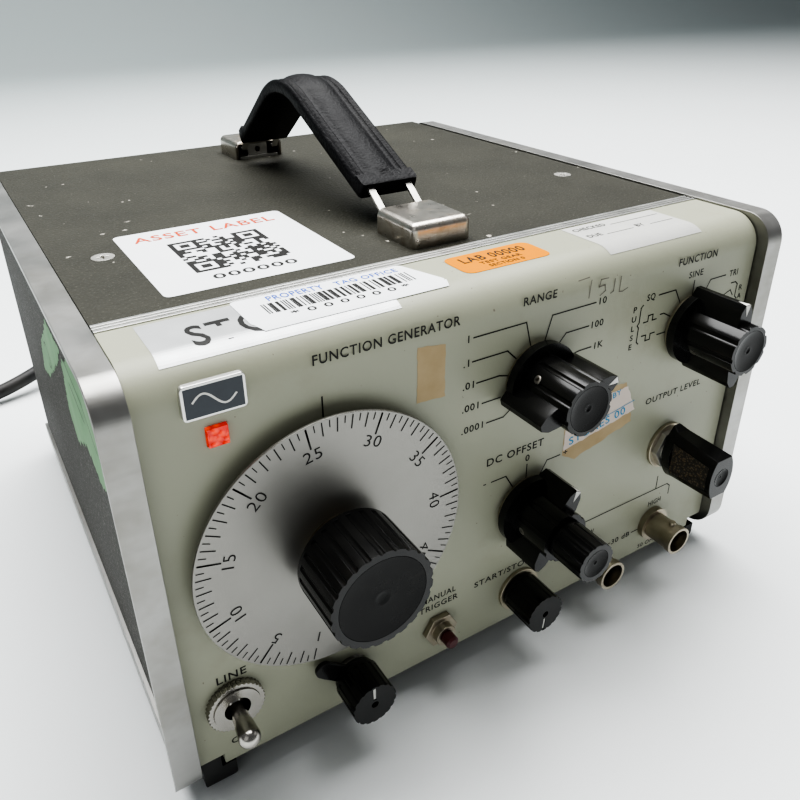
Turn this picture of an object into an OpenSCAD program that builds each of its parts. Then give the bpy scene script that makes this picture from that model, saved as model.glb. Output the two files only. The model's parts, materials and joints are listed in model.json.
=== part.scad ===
// Bench function generator in a half-width instrument case with a carrying strap.
// X runs to the right along the front, Y from the front to the rear, Z up from the table.
// The origin is under the middle of the instrument, on the table.

/* [Case] */
// Width over both side castings
case_w = 197.6; // [170:0.1:250]
// Height of the side castings
case_h = 114.3; // [108:0.1:140]
// Depth of the side castings
case_d = 194.2; // [180:0.1:260]
// Width of a casting seen from the front
bar_w = 6.6; // [5.5:0.1:9]
// Radius of a casting's corners
corner_r = 8.5; // [5:0.1:12]
// Width of the ring that a casting shows from inside
web_w = 9; // [6:0.5:14]
// How far a side skin lies inside the casting's edge
skin_inset = 2.8; // [2:0.1:3.2]
// Height of the rail along the foot of each casting
rail_h = 6; // [4:0.5:9]
// How far the rail lies inside the casting's edge
rail_inset = 1.7; // [1:0.1:2]
// Thickness of the skins, covers and panels' sheet metal
sheet_t = 1.2; // [0.8:0.1:1.6]
// Gap between neighbouring sheet parts
seam = 0.3; // [0.2:0.05:0.5]

/* [Front panel] */
// How far the panel's face lies behind the castings
panel_recess = 3.5; // [2:0.1:5]
// Thickness of the front panel
panel_t = 1.6; // [1.2:0.1:2.4]
// Outer radius of the roll at the panel's top
roll_r = 9; // [5:0.5:12]
// Height of the panel's lower edge over the castings' foot
panel_foot = 2.2; // [1.5:0.1:4]
// Depth of the panel's rolled top
roll_depth = 27.3; // [20:0.1:34]
// Width of the metal strip behind the panel
strip_w = 4.2; // [3:0.1:6]
// Drop of the panel's top below the castings
top_drop = 0.6; // [0.3:0.1:1.2]

/* [Control places] */
// Dial axis, to the right of the middle
dial_x = -52.8; // [-56:0.1:-46]
// Dial axis, over the castings' foot
dial_z = 60.8; // [55:0.1:68]
// Column of the range and offset knobs
mid_x = 7.6; // [3:0.1:12]
// Column of the function knob
function_x = 65.9; // [60:0.1:70]
// Column of the level knob and the high output
output_x = 65.1; // [60:0.1:70]
// Place of the low output jack
low_x = 35.4; // [32:0.1:40]
// Row of the range and function knobs
upper_z = 85.7; // [80:0.1:92]
// Row of the offset and level knobs
middle_z = 44.2; // [40:0.1:50]
// Row of the jacks, the push button and the small knobs
lower_z = 13; // [12:0.1:18]
// Place of the mode knob
mode_x = -49.3; // [-54:0.1:-44]
// Place of the push button
button_x = -21.2; // [-24:0.1:-16]
// Place of the line switch, across
line_x = -81.2; // [-84:0.1:-78]
// Place of the line switch, up
line_z = 22; // [18:0.1:28]

/* [Dial and knobs] */
// Radius of the dial plate
dial_r = 34.4; // [30:0.1:38]
// Thickness of the dial plate
dial_t = 0.8; // [0.6:0.1:1.2]
// Front of the dial plate, in front of the panel
dial_stand = 4; // [3:0.1:6]
// Gap between the dial plate and its knob
dial_knob_gap = 4.8; // [2:0.1:6]
// Radius of the dial knob
dial_knob_r = 12.6; // [10:0.1:16]
// Length of the dial knob
dial_knob_l = 16; // [12:0.1:22]
// Radius of a pointer knob's skirt
skirt_r = 10.6; // [9:0.1:12]
// Thickness of a skirt
skirt_t = 2.4; // [1.5:0.1:4]
// Gap between the panel and a skirt
skirt_gap = 1.7; // [1.2:0.1:2.5]
// Half length of a pointer bar
pointer_r = 12.6; // [11:0.1:14]
// Width of a pointer bar
pointer_w = 5.6; // [4:0.1:7]
// Radius of a pointer knob's barrel
barrel_r = 7.3; // [6:0.1:8.5]
// Front of the range and function knobs, in front of the panel
knob_reach = 20; // [16:0.1:24]
// Front of the offset switch knob, in front of the panel
offset_reach = 17; // [14:0.1:20]
// Front of the offset level knob, in front of the panel
fine_reach = 28.5; // [24:0.1:32]
// Radius of the offset level knob
fine_r = 5.7; // [5:0.1:6.5]
// Front of the level knob, in front of the panel
level_reach = 21.6; // [18:0.1:24]
// Half length of the level knob's flared base
level_base = 9.2; // [8:0.1:10]
// Half length of the level knob's face
level_face = 6.6; // [5.5:0.1:7.5]
// Width of the level knob
level_w = 10; // [8:0.1:11]
// Grooves along a pointer knob's barrel
barrel_grooves = 9; // [7:1:12]
// Front of the phase and mode knobs, in front of the panel
small_reach = 12.8; // [10:0.1:16]
// Radius of the phase and mode knobs
small_knob_r = 6.2; // [5.5:0.1:7]
// Radius of a control shaft
shaft_r = 3.17; // [3:0.01:3.3]
// Radius of a control's threaded bushing
bushing_r = 4.76; // [4.6:0.01:5]
// Radial gap between a shaft and its bushing
shaft_gap = 0.06; // [0.03:0.01:0.1]
// Gap between parts that move past each other
run_gap = 0.5; // [0.4:0.1:0.8]

/* [Switches and jacks] */
// Radius of the line switch's knurled nut
line_nut_r = 7.2; // [6.5:0.1:8]
// Length of the line switch's lever
bat_l = 13.2; // [11:0.1:16]
// Radius of the lever's round end
bat_r = 2.7; // [1.8:0.1:3.2]
// Tilt of the lever from the panel's normal
bat_tilt = 13; // [10:1:16]
// Radius of the push button's tip
button_r = 1.95; // [1.5:0.05:2.4]
// Front of the push button, in front of the panel
button_reach = 7.6; // [6:0.1:9]
// Outer radius of a jack's shell
jack_r = 4.83; // [4.7:0.01:4.9]
// Front of a jack, in front of the panel
jack_reach = 12; // [10:0.1:14]
// Side of the pilot lens
lens_w = 4.4; // [3:0.1:6]

/* [Handle] */
// Width of the strap and its caps
strap_w = 19; // [16:0.1:24]
// Thickness of the strap
strap_t = 5.4; // [4:0.1:7]
// Radius of the strap's bend, outside
strap_bend_r = 29; // [24:0.5:36]
// Slope of the strap's front run
front_slope = 26; // [18:0.5:32]
// Slope of the strap's rear run
rear_slope = 35.5; // [24:0.5:40]
// Length of the strap's front run
front_run = 47; // [40:0.5:60]
// Length of the strap's rear run
rear_run = 31.5; // [26:0.5:44]
// Bend centre behind the castings' front
bend_y = 116.2; // [100:0.1:124]
// Bend centre over the castings' top
bend_z = 5.9; // [4:0.1:14]
// Length of a cap along the strap
cap_l = 18.5; // [16:0.5:24]
// Height of a cap over the cover
cap_h = 6.8; // [6:0.1:9]
// Front cap's front, behind the castings' front
cap_front_y = 34.8; // [30:0.1:42]
// Rear cap's rear, behind the castings' front
cap_rear_y = 181; // [176:0.1:190]

/* [Feet and stand] */
// Height of the feet below the castings
foot_h = 7; // [5:0.5:12]
// Length of a foot
foot_l = 24; // [18:0.5:32]
// Width of a foot
foot_w = 8.6; // [7:0.1:11]
// Radius of the tilt stand's wire
wire_r = 1.5; // [1:0.1:1.8]
// Length of the tilt stand
stand_l = 58; // [40:1:70]
// Reach of the rear bumpers behind the castings
bumper_reach = 9; // [6:0.1:14]

/* [Mains cord] */
// Diameter of the cord
cord_d = 6.5; // [6.5]
// Radius of the coil at the middle of its turns
coil_r = 36; // [34:0.5:39]
// Layers of turns in the coil
coil_layers = 4; // [4]
// Turns beside each other in a layer
layer_turns = 1.875; // [1.875]

/* [Hidden] */
$fn = 48;

front_y = (fine_reach - panel_recess) / 2 - (case_d + bumper_reach) / 2;
rear_y = front_y + case_d;
panel_y = front_y + panel_recess;
base_z = foot_h;
top_z = base_z + case_h;
cover_top = top_z - top_drop;
inner_w = case_w - 2 * bar_w;
half_w = inner_w / 2 - seam;
web_t = bar_w - skin_inset - sheet_t;
lip_t = 1.6;
strip_y = front_y + roll_depth + seam;
cover_y = strip_y + strip_w + seam;
rear_panel_y = rear_y - 4;
notch_w = 6.3;
notch_h = 3.2;
screw_x = inner_w / 2 - 12.7;
screw_y = front_y + 75;
deck_z = base_z + web_w + 3;
deck_y = panel_y + panel_t + 44;

foot_x = inner_w / 2 - foot_w / 2 - 1;
wire_bend = 4;
pivot_y = front_y + 19;
pivot_z = 3.4;
leg_x = foot_x - foot_w / 2 - 2 - wire_bend;

bend_at = [front_y + bend_y, top_z + bend_z];
cap_y = [front_y + cap_front_y, front_y + cap_rear_y - cap_l];
cap_wall = 1.2;
cap_r = 3.2;
prong_x = 6.2;
prong_w = 2.2;

lens_place = [-76.2, 96.9];
badge_place = [-76.1, 106.1];
badge_size = [13.2, 7.8];
range_angle = 15;
function_angle = 90;
offset_angle = 60;
level_angle = 90;
mark_angle = 265;
lever_angle = 139;
small_bushing_r = 3.17;
small_shaft_r = 1.58;
washer_t = 1.2;
nut_t = 1.8;
lever_z = 1.5;
lever_t = 1.4;
line_pivot = -1;
line_pin_r = 0.9;
collar_l = 2.1;
shell_step = 0.35;

inlet_x = 15;
inlet_z = 36;
fuse_x = 58;
selector_x = -35;
rear_jack_x = [-60, -20, 20];
rear_jack_z = 80;
nose_w = 23.4;
nose_h = 15.8;
nose_l = 14;
fit_gap = 0.3;

coil_at = [-177, 118.9];
coil_w = (layer_turns + 1) * cord_d + 0.2;
coil_h = coil_layers * cord_d;
lead_route = [[15, 163, 43], [14.9, 170, 42.8], [14, 178, 42], [11, 186.5, 40.5], [5, 194, 38.2],
    [-4, 199.2, 35.2], [-14.5, 201.2, 31.8], [-25.5, 200, 28], [-36.5, 196.2, 24.2],
    [-48, 190.5, 20.4], [-59.5, 184, 16.8], [-71, 177.3, 13.6], [-83, 170.8, 10.8],
    [-95, 165.4, 8.2], [-107, 161.6, 6], [-119, 159.6, 4.5], [-131, 159.2, 3.6],
    [-143, 159.9, 3.3], [-155, 160.7, 3.3], [-166, 161, 3.3], [-177, 161, 3.3]];
tail_route = [[-219.1, 118.9, 22.8], [-219.1, 106, 22.3], [-219.3, 93, 20.2],
    [-219.6, 80, 16.8], [-220, 67, 13.4], [-220, 54, 11.3], [-220, 45, 11]];

// A rectangle with round corners, its low corner at the origin.
module rounded(w, h, r) {
    translate([r, 0]) square([w - 2 * r, h]);
    translate([0, r]) square([w, h - 2 * r]);
    for (x = [r, w - r], y = [r, h - r])
        translate([x, y]) circle(r);
}

// Turns a drawing in the YZ plane into a slab from x0 to x1.
module side_slab(x0, x1) {
    translate([x0, 0, 0]) rotate([90, 0, 90]) linear_extrude(x1 - x0) children();
}

// Places its children on the panel's face, with their Z pointing out of the panel.
module on_panel(x, z) {
    translate([x, panel_y, base_z + z]) rotate([90, 0, 0]) children();
}

// Places its children on the rear panel's face, with their Z pointing to the rear.
module on_rear(x, z) {
    translate([x, rear_panel_y, base_z + z]) rotate([-90, 0, 0]) children();
}

// A casting's outline seen from the side.
module casting_outline() {
    translate([front_y, base_z]) rounded(case_d, case_h, corner_r);
}

// The right-hand side casting: an inner web ring, a lip along front and top, a foot rail.
module casting() {
    inner_x = case_w / 2 - bar_w;
    color([0.72, 0.72, 0.70]) {
        side_slab(inner_x, inner_x + web_t) difference() {
            casting_outline();
            translate([front_y + web_w, base_z + web_w])
                rounded(case_d - 2 * web_w, case_h - 2 * web_w, corner_r / 2);
        }
        side_slab(inner_x + web_t, case_w / 2) difference() {
            casting_outline();
            translate([lip_t, -lip_t]) casting_outline();
        }
        side_slab(inner_x + web_t, case_w / 2 - rail_inset) intersection() {
            casting_outline();
            translate([front_y + lip_t, base_z]) square([case_d - lip_t, rail_h]);
        }
    }
}
module left_casting() { mirror([1, 0, 0]) casting(); }
module right_casting() { casting(); }

// The right-hand side skin, which lies on the casting's web.
module skin() {
    color([0.43, 0.42, 0.38])
        side_slab(case_w / 2 - bar_w + web_t, case_w / 2 - skin_inset) intersection() {
            casting_outline();
            translate([lip_t + seam, -lip_t - seam]) casting_outline();
            translate([front_y, base_z + rail_h + seam]) square([case_d, case_h]);
        }
}
module left_skin() { mirror([1, 0, 0]) skin(); }
module right_skin() { skin(); }

// The deck that ties the castings together and carries the board and the transformer.
module chassis_deck() {
    deck_d = rear_panel_y - panel_t - deck_y;
    color([0.66, 0.67, 0.66]) {
        translate([-inner_w / 2, deck_y, deck_z]) cube([inner_w, deck_d, sheet_t]);
        for (s = [-1, 1])
            translate([s * (inner_w - sheet_t) / 2 - sheet_t / 2, deck_y, deck_z - 10])
                cube([sheet_t, deck_d, 10.1]);
    }
}

// The panel's section: a flat face with a roll at the top that runs back to the strip.
module panel_section() {
    low = base_z + panel_foot;
    translate([panel_y, low]) square([panel_t, cover_top - roll_r - low]);
    translate([panel_y, low]) square([8, panel_t]);
    translate([panel_y + roll_r, cover_top - panel_t])
        square([front_y + roll_depth - panel_y - roll_r, panel_t]);
    translate([panel_y + roll_r, cover_top - roll_r]) intersection() {
        difference() {
            circle(roll_r);
            circle(roll_r - panel_t);
        }
        translate([-roll_r, 0]) square([roll_r, roll_r]);
    }
}

module panel_hole(x, z, r) {
    on_panel(x, z) translate([0, 0, -panel_t - 1]) cylinder(r = r, h = panel_t + 2);
}

module front_panel() {
    color([0.74, 0.73, 0.66]) difference() {
        side_slab(-half_w, half_w) panel_section();
        for (p = [[mid_x, upper_z], [function_x, upper_z], [mid_x, middle_z], [output_x, middle_z],
                [mid_x, lower_z], [mode_x, lower_z], [dial_x, dial_z]])
            panel_hole(p[0], p[1], bushing_r + 0.1);
        for (x = [low_x, output_x]) panel_hole(x, lower_z, jack_r + 0.1);
        panel_hole(line_x, line_z, 5.95);
        panel_hole(button_x, lower_z, 3.3);
        on_panel(lens_place[0] - lens_w / 2, lens_place[1] - lens_w / 2)
            translate([-0.1, -0.1, -panel_t - 1]) cube([lens_w + 0.2, lens_w + 0.2, panel_t + 2]);
        for (s = [-1, 1])
            translate([s * (half_w - notch_w / 2) - notch_w / 2, panel_y - 1, base_z + panel_foot - 1])
                cube([notch_w, 12, notch_h + 1]);
    }
}

// The ribbed metal strip between the panel's roll and the top cover, which both rest on its base.
module trim_strip() {
    under = cover_top - panel_t;
    color([0.80, 0.80, 0.79]) difference() {
        union() {
            translate([-half_w, strip_y - 5, under - 2]) cube([2 * half_w, strip_w + 10, 2]);
            translate([-half_w, strip_y, under - 0.1]) cube([2 * half_w, strip_w, panel_t + 0.3]);
        }
        for (k = [1, 2])
            translate([-case_w / 2, strip_y + k * strip_w / 3 - 0.3, cover_top - 0.3])
                cube([case_w, 0.6, 1]);
    }
}

module top_cover() {
    color([0.38, 0.37, 0.33]) difference() {
        union() {
            translate([-half_w, cover_y, cover_top - sheet_t]) cube([2 * half_w, rear_y - cover_y, sheet_t]);
            translate([-half_w, rear_y - sheet_t, cover_top - 3]) cube([2 * half_w, sheet_t, 3]);
        }
        for (x = [-screw_x, screw_x]) translate([x, screw_y, cover_top]) {
            translate([0, 0, -3]) cylinder(r = 1.7, h = 4);
            translate([0, 0, -1]) cylinder(r1 = 2.1, r2 = 3.2, h = 1.01);
        }
        for (y = [cap_front_y + cap_l / 2, cap_rear_y - cap_l / 2])
            translate([0, front_y + y, cover_top - 3]) cylinder(r = 2.1, h = 4);
    }
}

// Countersunk cross-recess screws that hold the top cover.
module top_screws() {
    color([0.62, 0.62, 0.60]) for (x = [-screw_x, screw_x]) translate([x, screw_y, cover_top]) difference() {
        union() {
            translate([0, 0, -1]) cylinder(r1 = 2.0, r2 = 3.1, h = 1);
            translate([0, 0, -7]) cylinder(r = 1.5, h = 6.01);
        }
        for (a = [0, 90]) rotate(a) translate([-1.5, -0.3, -0.9]) cube([3, 0.6, 2]);
    }
}

// The bottom cover with two banks of ventilation slots and clearance for the front feet.
module bottom_cover() {
    y0 = front_y + 9;
    color([0.43, 0.42, 0.38]) difference() {
        translate([-half_w, y0, base_z + 0.6]) cube([2 * half_w, rear_panel_y - panel_t - seam - y0, sheet_t]);
        for (k = [0:11], s = [-1, 1])
            translate([s * 44 - 24 + k * 4.2, front_y + 70, base_z - 1]) cube([2, 44, 4]);
    }
}

module rear_panel() {
    color([0.70, 0.70, 0.66]) difference() {
        translate([-half_w, rear_panel_y - panel_t, base_z + 0.4]) cube([2 * half_w, panel_t, case_h - 3.6]);
        on_rear(inlet_x, inlet_z) translate([-13.8, -10.1, -panel_t - 1]) cube([27.6, 20.2, panel_t + 2]);
        on_rear(fuse_x, inlet_z) translate([0, 0, -panel_t - 1]) cylinder(r = 6.3, h = panel_t + 2);
        on_rear(selector_x, inlet_z) translate([-6.6, -3.2, -panel_t - 1]) cube([13.2, 6.4, panel_t + 2]);
        for (x = rear_jack_x)
            on_rear(x, rear_jack_z) translate([0, 0, -panel_t - 1]) cylinder(r = jack_r + 0.1, h = panel_t + 2);
    }
}

// Four round bumpers that the instrument stands on when it is set down on its rear.
module rear_bumpers() {
    color([0.12, 0.12, 0.12]) for (x = [-80, 80], z = [11, case_h - 15]) on_rear(x, z) difference() {
        cylinder(r1 = 7.5, r2 = 6.5, h = 4 + bumper_reach);
        translate([0, 0, 4 + bumper_reach - 4]) cylinder(r = 3.2, h = 5);
    }
}

// One foot, round across its sole and at its nose, with its front at y = 0.
module foot() {
    intersection() {
        translate([-foot_w / 2, 0, 0]) rotate([90, 0, 90]) linear_extrude(foot_w) union() {
            translate([3, 0]) square([foot_l - 6, foot_h]);
            translate([0, 3]) square([foot_l, foot_h - 3]);
            for (y = [3, foot_l - 3]) translate([y, 3]) circle(3);
        }
        translate([0, foot_l, 0]) rotate([90, 0, 0]) linear_extrude(foot_l) union() {
            translate([-foot_w / 2 + 3.2, 0]) square([foot_w - 6.4, foot_h]);
            translate([-foot_w / 2, 3.2]) square([foot_w, foot_h - 3.2]);
            for (s = [-1, 1]) translate([s * (foot_w / 2 - 3.2), 3.2]) circle(3.2);
        }
    }
}

// Front feet, with holes for the stand. The left one's tab shows in the notch at the panel's foot.
module front_feet() {
    tab_w = notch_w - 1.4;
    color([0.09, 0.09, 0.09]) for (s = [0, 1]) mirror([s, 0, 0]) difference() {
        union() {
            translate([foot_x, panel_y + 1.2, 0]) foot();
            if (s == 1) translate([half_w - 0.6 - tab_w, panel_y + 0.8, foot_h - 1])
                cube([tab_w, 4, 1 + panel_foot + notch_h - 0.8]);
        }
        translate([foot_x - foot_w, pivot_y, pivot_z]) rotate([0, 90, 0])
            cylinder(r = wire_r + shaft_gap, h = foot_w * 3 / 2);
    }
}

module rear_feet() {
    color([0.09, 0.09, 0.09]) for (s = [-1, 1]) translate([s * foot_x, rear_y - foot_l - 14, 0]) foot();
}

// The wire tilt stand, folded up between the feet, with its ends in the front feet.
module tilt_stand() {
    color([0.70, 0.70, 0.70]) translate([0, pivot_y, pivot_z]) for (s = [0, 1]) mirror([s, 0, 0]) {
        translate([leg_x + wire_bend, 0, 0]) rotate([0, 90, 0]) cylinder(r = wire_r, h = 5.5);
        translate([leg_x + wire_bend, wire_bend, 0]) rotate(180) rotate_extrude(angle = 90)
            translate([wire_bend, 0]) circle(wire_r);
        translate([leg_x, wire_bend, 0]) rotate([-90, 0, 0])
            cylinder(r = wire_r, h = stand_l - 2 * wire_bend);
        translate([leg_x - wire_bend, stand_l - wire_bend, 0]) rotate_extrude(angle = 90)
            translate([wire_bend, 0]) circle(wire_r);
        translate([0, stand_l, 0]) rotate([0, 90, 0]) cylinder(r = wire_r, h = leg_x - wire_bend);
    }
}

// The strap's profile: two straight runs that meet in a bend of one radius.
module strap_section() {
    in_r = strap_bend_r - strap_t;
    far = 2 * strap_bend_r;
    translate(bend_at) {
        rotate(90 + front_slope) translate([in_r, 0]) square([strap_t, front_run]);
        rotate(90 - rear_slope) translate([in_r, -rear_run]) square([strap_t, rear_run]);
        intersection() {
            difference() {
                circle(strap_bend_r, $fn = 96);
                circle(in_r, $fn = 96);
            }
            polygon([[0, 0], far * [cos(90 - rear_slope), sin(90 - rear_slope)], [0, far * 1.5],
                far * [cos(90 + front_slope), sin(90 + front_slope)]]);
        }
    }
}

// The strap's end points: the middle of each cut face, and the slope inwards from it.
function strap_end(a, run) = bend_at + (strap_bend_r - strap_t / 2) * [cos(a), sin(a)] + run * [-sin(a), cos(a)];
front_end = strap_end(90 + front_slope, front_run);
rear_end = strap_end(90 - rear_slope, -rear_run);
front_dir = [cos(front_slope), sin(front_slope)];
rear_dir = [-cos(rear_slope), sin(rear_slope)];
prong_low = cover_top + 3.8;

// One prong's profile from the crossbar at y0, flat to y1, up to the strap's end, 8 mm into it.
module prong(y0, y1, end, dir) {
    t = [0, 1];
    polygon([[y0, prong_low], [y1, prong_low], end, end + 8 * dir, end + 8 * dir + t, end + t,
        [y1, prong_low] + t, [y0, prong_low] + t]);
}

// The spring steel prongs that join the strap to its caps, a pair and a crossbar at each end.
module prong_pair(y0, y1, end, dir) {
    for (s = [-1, 1]) side_slab(s * prong_x - prong_w / 2, s * prong_x + prong_w / 2) prong(y0, y1, end, dir);
    side_slab(-prong_x - prong_w / 2, prong_x + prong_w / 2)
        translate([y0 > bend_at[0] ? y0 - 2 : y0, prong_low]) square([2, 1]);
}
module prong_pairs() {
    prong_pair(cap_y[0] + 8, cap_y[0] + cap_l + 1.5, front_end, front_dir);
    prong_pair(cap_y[1] + cap_l - 8, cap_y[1] - 1.5, rear_end, rear_dir);
}
module handle_prongs() {
    color([0.75, 0.75, 0.73]) prong_pairs();
}

module handle_strap() {
    color([0.07, 0.07, 0.07]) difference() {
        side_slab(-strap_w / 2, strap_w / 2) strap_section();
        prong_pairs();
    }
}

// Bright caps over the strap's anchors, open towards the strap.
module handle_caps() {
    color([0.80, 0.80, 0.78]) for (k = [0, 1])
        translate([0, k == 0 ? cap_y[0] : cap_y[1] + cap_l, cover_top]) mirror([0, k, 0]) difference() {
            translate([-strap_w / 2, 0, 0]) rotate([90, 0, 90]) linear_extrude(strap_w) union() {
                translate([cap_r, 0]) square([cap_l - cap_r, cap_h]);
                square([cap_l, cap_h - cap_r]);
                translate([cap_r, cap_h - cap_r]) circle(cap_r);
            }
            translate([-strap_w / 2 + cap_wall, 2.6, -1])
                cube([strap_w - 2 * cap_wall, cap_l, cap_h - cap_wall + 1]);
        }
}

// Upright tabs that hold the prongs' crossbars, each on a plate with a screw into the cover.
module handle_brackets() {
    color([0.70, 0.70, 0.68]) for (k = [0, 1])
        translate([0, k == 0 ? cap_y[0] : cap_y[1] + cap_l, cover_top]) mirror([0, k, 0]) {
            difference() {
                union() {
                    translate([-7.8, 3, 0]) cube([15.6, cap_l - 3, 1]);
                    translate([-4, cap_l - 2.4, 0.9]) cube([8, 1, cap_h - cap_wall - 1.2]);
                }
                translate([0, cap_l, 3]) rotate([90, 0, 0]) cylinder(r = 1.1, h = 4);
            }
            translate([0, cap_l / 2 - 0.5, 0.9]) cylinder(r = 3, h = 1.4);
            translate([0, cap_l / 2, -5]) cylinder(r = 1.9, h = 6);
        }
}

// A bushing through the panel with a hexagon nut on it, and the round body behind the panel.
module control(bush_r, bush_front, bore_r, washer, nut_r, body_r, body_l) {
    difference() {
        union() {
            translate([0, 0, -panel_t - 3]) cylinder(r = bush_r, h = panel_t + 3 + bush_front);
            translate([0, 0, washer]) cylinder(r = nut_r, h = min(nut_t, bush_front - washer - 0.1), $fn = 6);
            translate([0, 0, -panel_t - body_l]) cylinder(r = body_r, h = body_l);
        }
        translate([0, 0, -panel_t - 9]) cylinder(r = bore_r, h = 40);
    }
}

// A rotary switch: a control with an index plate, two wafers and two pillars behind it.
module rotary_switch(bush_front, bore_r, washer, nut_r) {
    control(bushing_r, bush_front, bore_r, washer, nut_r, 11, 9);
    for (k = [0, 1]) translate([0, 0, -panel_t - 16 - 8 * k]) cylinder(r = 14, h = 1.6);
    for (s = [-1, 1]) translate([9 * s, 0, -panel_t - 25]) cylinder(r = 1.6, h = 20);
}

// A pointer bar's outline: parallel beside the barrel, then narrower towards both points.
module pointer_outline() {
    tip_w = pointer_w * 0.3;
    shoulder = pointer_r - 2;
    polygon([[-pointer_r, -tip_w / 2], [-shoulder, -pointer_w * 0.4], [-barrel_r, -pointer_w / 2],
        [barrel_r, -pointer_w / 2], [shoulder, -pointer_w * 0.4], [pointer_r, -tip_w / 2],
        [pointer_r, tip_w / 2], [shoulder, pointer_w * 0.4], [barrel_r, pointer_w / 2],
        [-barrel_r, pointer_w / 2], [-shoulder, pointer_w * 0.4], [-pointer_r, tip_w / 2]]);
}

// A pointer knob in one with its shaft: skirt, grooved barrel, bar across it, dished face, screw hole.
module pointer_knob(reach, dish_r, hollow, shaft) {
    groove_z = skirt_gap + skirt_t + 0.8;
    difference() {
        union() {
            translate([0, 0, skirt_gap]) cylinder(r = skirt_r, h = skirt_t);
            difference() {
                translate([0, 0, skirt_gap]) cylinder(r = barrel_r, h = reach - skirt_gap);
                for (k = [1:barrel_grooves]) rotate((k + 0.5) * 360 / barrel_grooves)
                    translate([barrel_r + 0.4, 0, groove_z]) cylinder(r = 0.9, h = reach, $fn = 16);
            }
            translate([0, 0, skirt_gap]) linear_extrude(reach - skirt_gap - 3) pointer_outline();
        }
        translate([0, 0, reach - 0.8]) cylinder(r = dish_r, h = 2);
        translate([0, 0, -1]) cylinder(r = barrel_r + 0.2, h = skirt_gap + skirt_t);
        translate([0, 0, -1]) cylinder(r = bushing_r + run_gap, h = 7);
        translate([0, 0, 7.5]) rotate([0, -90, -50]) translate([0, 0, 5.6]) cylinder(r = 1.2, h = 4, $fn = 24);
        if (hollow) translate([0, 0, -20]) cylinder(r = small_shaft_r + shaft_gap, h = 60);
    }
    translate([0, 0, -panel_t - 8]) difference() {
        cylinder(r = shaft, h = panel_t + 8 + 7);
        if (hollow) translate([0, 0, -20]) cylinder(r = small_shaft_r + shaft_gap, h = 60);
    }
}

// A fluted knob: a cylinder with grooves cut along it and a recess in its face.
module fluted(r, z0, z1, grooves, groove_r, dish_r) {
    difference() {
        translate([0, 0, z0]) cylinder(r = r, h = z1 - z0);
        for (k = [1:grooves]) rotate(k * 360 / grooves)
            translate([r + groove_r * 0.55, 0, z0 + 1]) cylinder(r = groove_r, h = z1, $fn = 20);
        translate([0, 0, z1 - 0.8]) cylinder(r = dish_r, h = 2);
    }
}

// The dial plate, its hub, its shaft and its knob turn together.
module dial() {
    color([0.65, 0.64, 0.62]) on_panel(dial_x, dial_z) translate([0, 0, dial_stand - dial_t]) difference() {
        cylinder(r = dial_r, h = dial_t, $fn = 96);
        translate([0, 0, -1]) cylinder(r = shaft_r + 0.05, h = 3);
    }
}
module dial_hub() {
    color([0.62, 0.60, 0.52]) on_panel(dial_x, dial_z) translate([0, 0, dial_stand]) difference() {
        cylinder(r = 8.4, h = dial_knob_gap);
        translate([0, 0, -1]) cylinder(r = shaft_r + 0.05, h = dial_knob_gap + 2);
        rotate([0, 90, 200]) translate([-dial_knob_gap / 2, 0, 4]) cylinder(r = 1.1, h = 6, $fn = 24);
    }
}
module dial_shaft() {
    color([0.78, 0.78, 0.76]) on_panel(dial_x, dial_z) translate([0, 0, -panel_t - 8])
        cylinder(r = shaft_r, h = panel_t + 8 + dial_stand + dial_knob_gap + 10);
}
module dial_knob() {
    z0 = dial_stand + dial_knob_gap;
    color([0.05, 0.05, 0.05]) on_panel(dial_x, dial_z) difference() {
        fluted(dial_knob_r, z0, z0 + dial_knob_l, 24, 0.9, dial_knob_r - 1.8);
        translate([0, 0, z0 - 1]) cylinder(r = shaft_r + 0.05, h = 11.1);
    }
}
module frequency_pot() {
    color([0.45, 0.45, 0.42]) on_panel(dial_x, dial_z)
        control(bushing_r, 2.4, shaft_r + shaft_gap, 0, 6.9, 13, 24);
}

module range_knob() {
    color([0.05, 0.05, 0.05]) on_panel(mid_x, upper_z) rotate(range_angle)
        pointer_knob(knob_reach, barrel_r - 1.2, false, shaft_r);
}
module range_switch() {
    color([0.55, 0.50, 0.38]) on_panel(mid_x, upper_z)
        rotary_switch(5.4, shaft_r + shaft_gap, washer_t, 6.9);
}
module function_knob() {
    color([0.05, 0.05, 0.05]) on_panel(function_x, upper_z) rotate(function_angle)
        pointer_knob(knob_reach + 1, barrel_r - 1.2, false, shaft_r);
}
module function_switch() {
    color([0.55, 0.50, 0.38]) on_panel(function_x, upper_z)
        rotary_switch(5.4, shaft_r + shaft_gap, washer_t, 6.9);
}

// The offset controls: a pointer knob on a hollow shaft, and a fluted knob on the shaft inside it.
module offset_switch_knob() {
    color([0.05, 0.05, 0.05]) on_panel(mid_x, middle_z) rotate(offset_angle)
        pointer_knob(offset_reach, 4.6, true, shaft_r);
}
module offset_level_knob() {
    color([0.05, 0.05, 0.05]) on_panel(mid_x, middle_z) {
        fluted(fine_r, offset_reach + run_gap, fine_reach, 14, 0.6, fine_r - 1.6);
        translate([0, 0, -panel_t - 8]) cylinder(r = small_shaft_r, h = panel_t + 9 + offset_reach);
    }
}
module offset_switch() {
    color([0.55, 0.50, 0.38]) on_panel(mid_x, middle_z)
        rotary_switch(5.4, shaft_r + shaft_gap, washer_t, 6.9);
}

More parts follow.
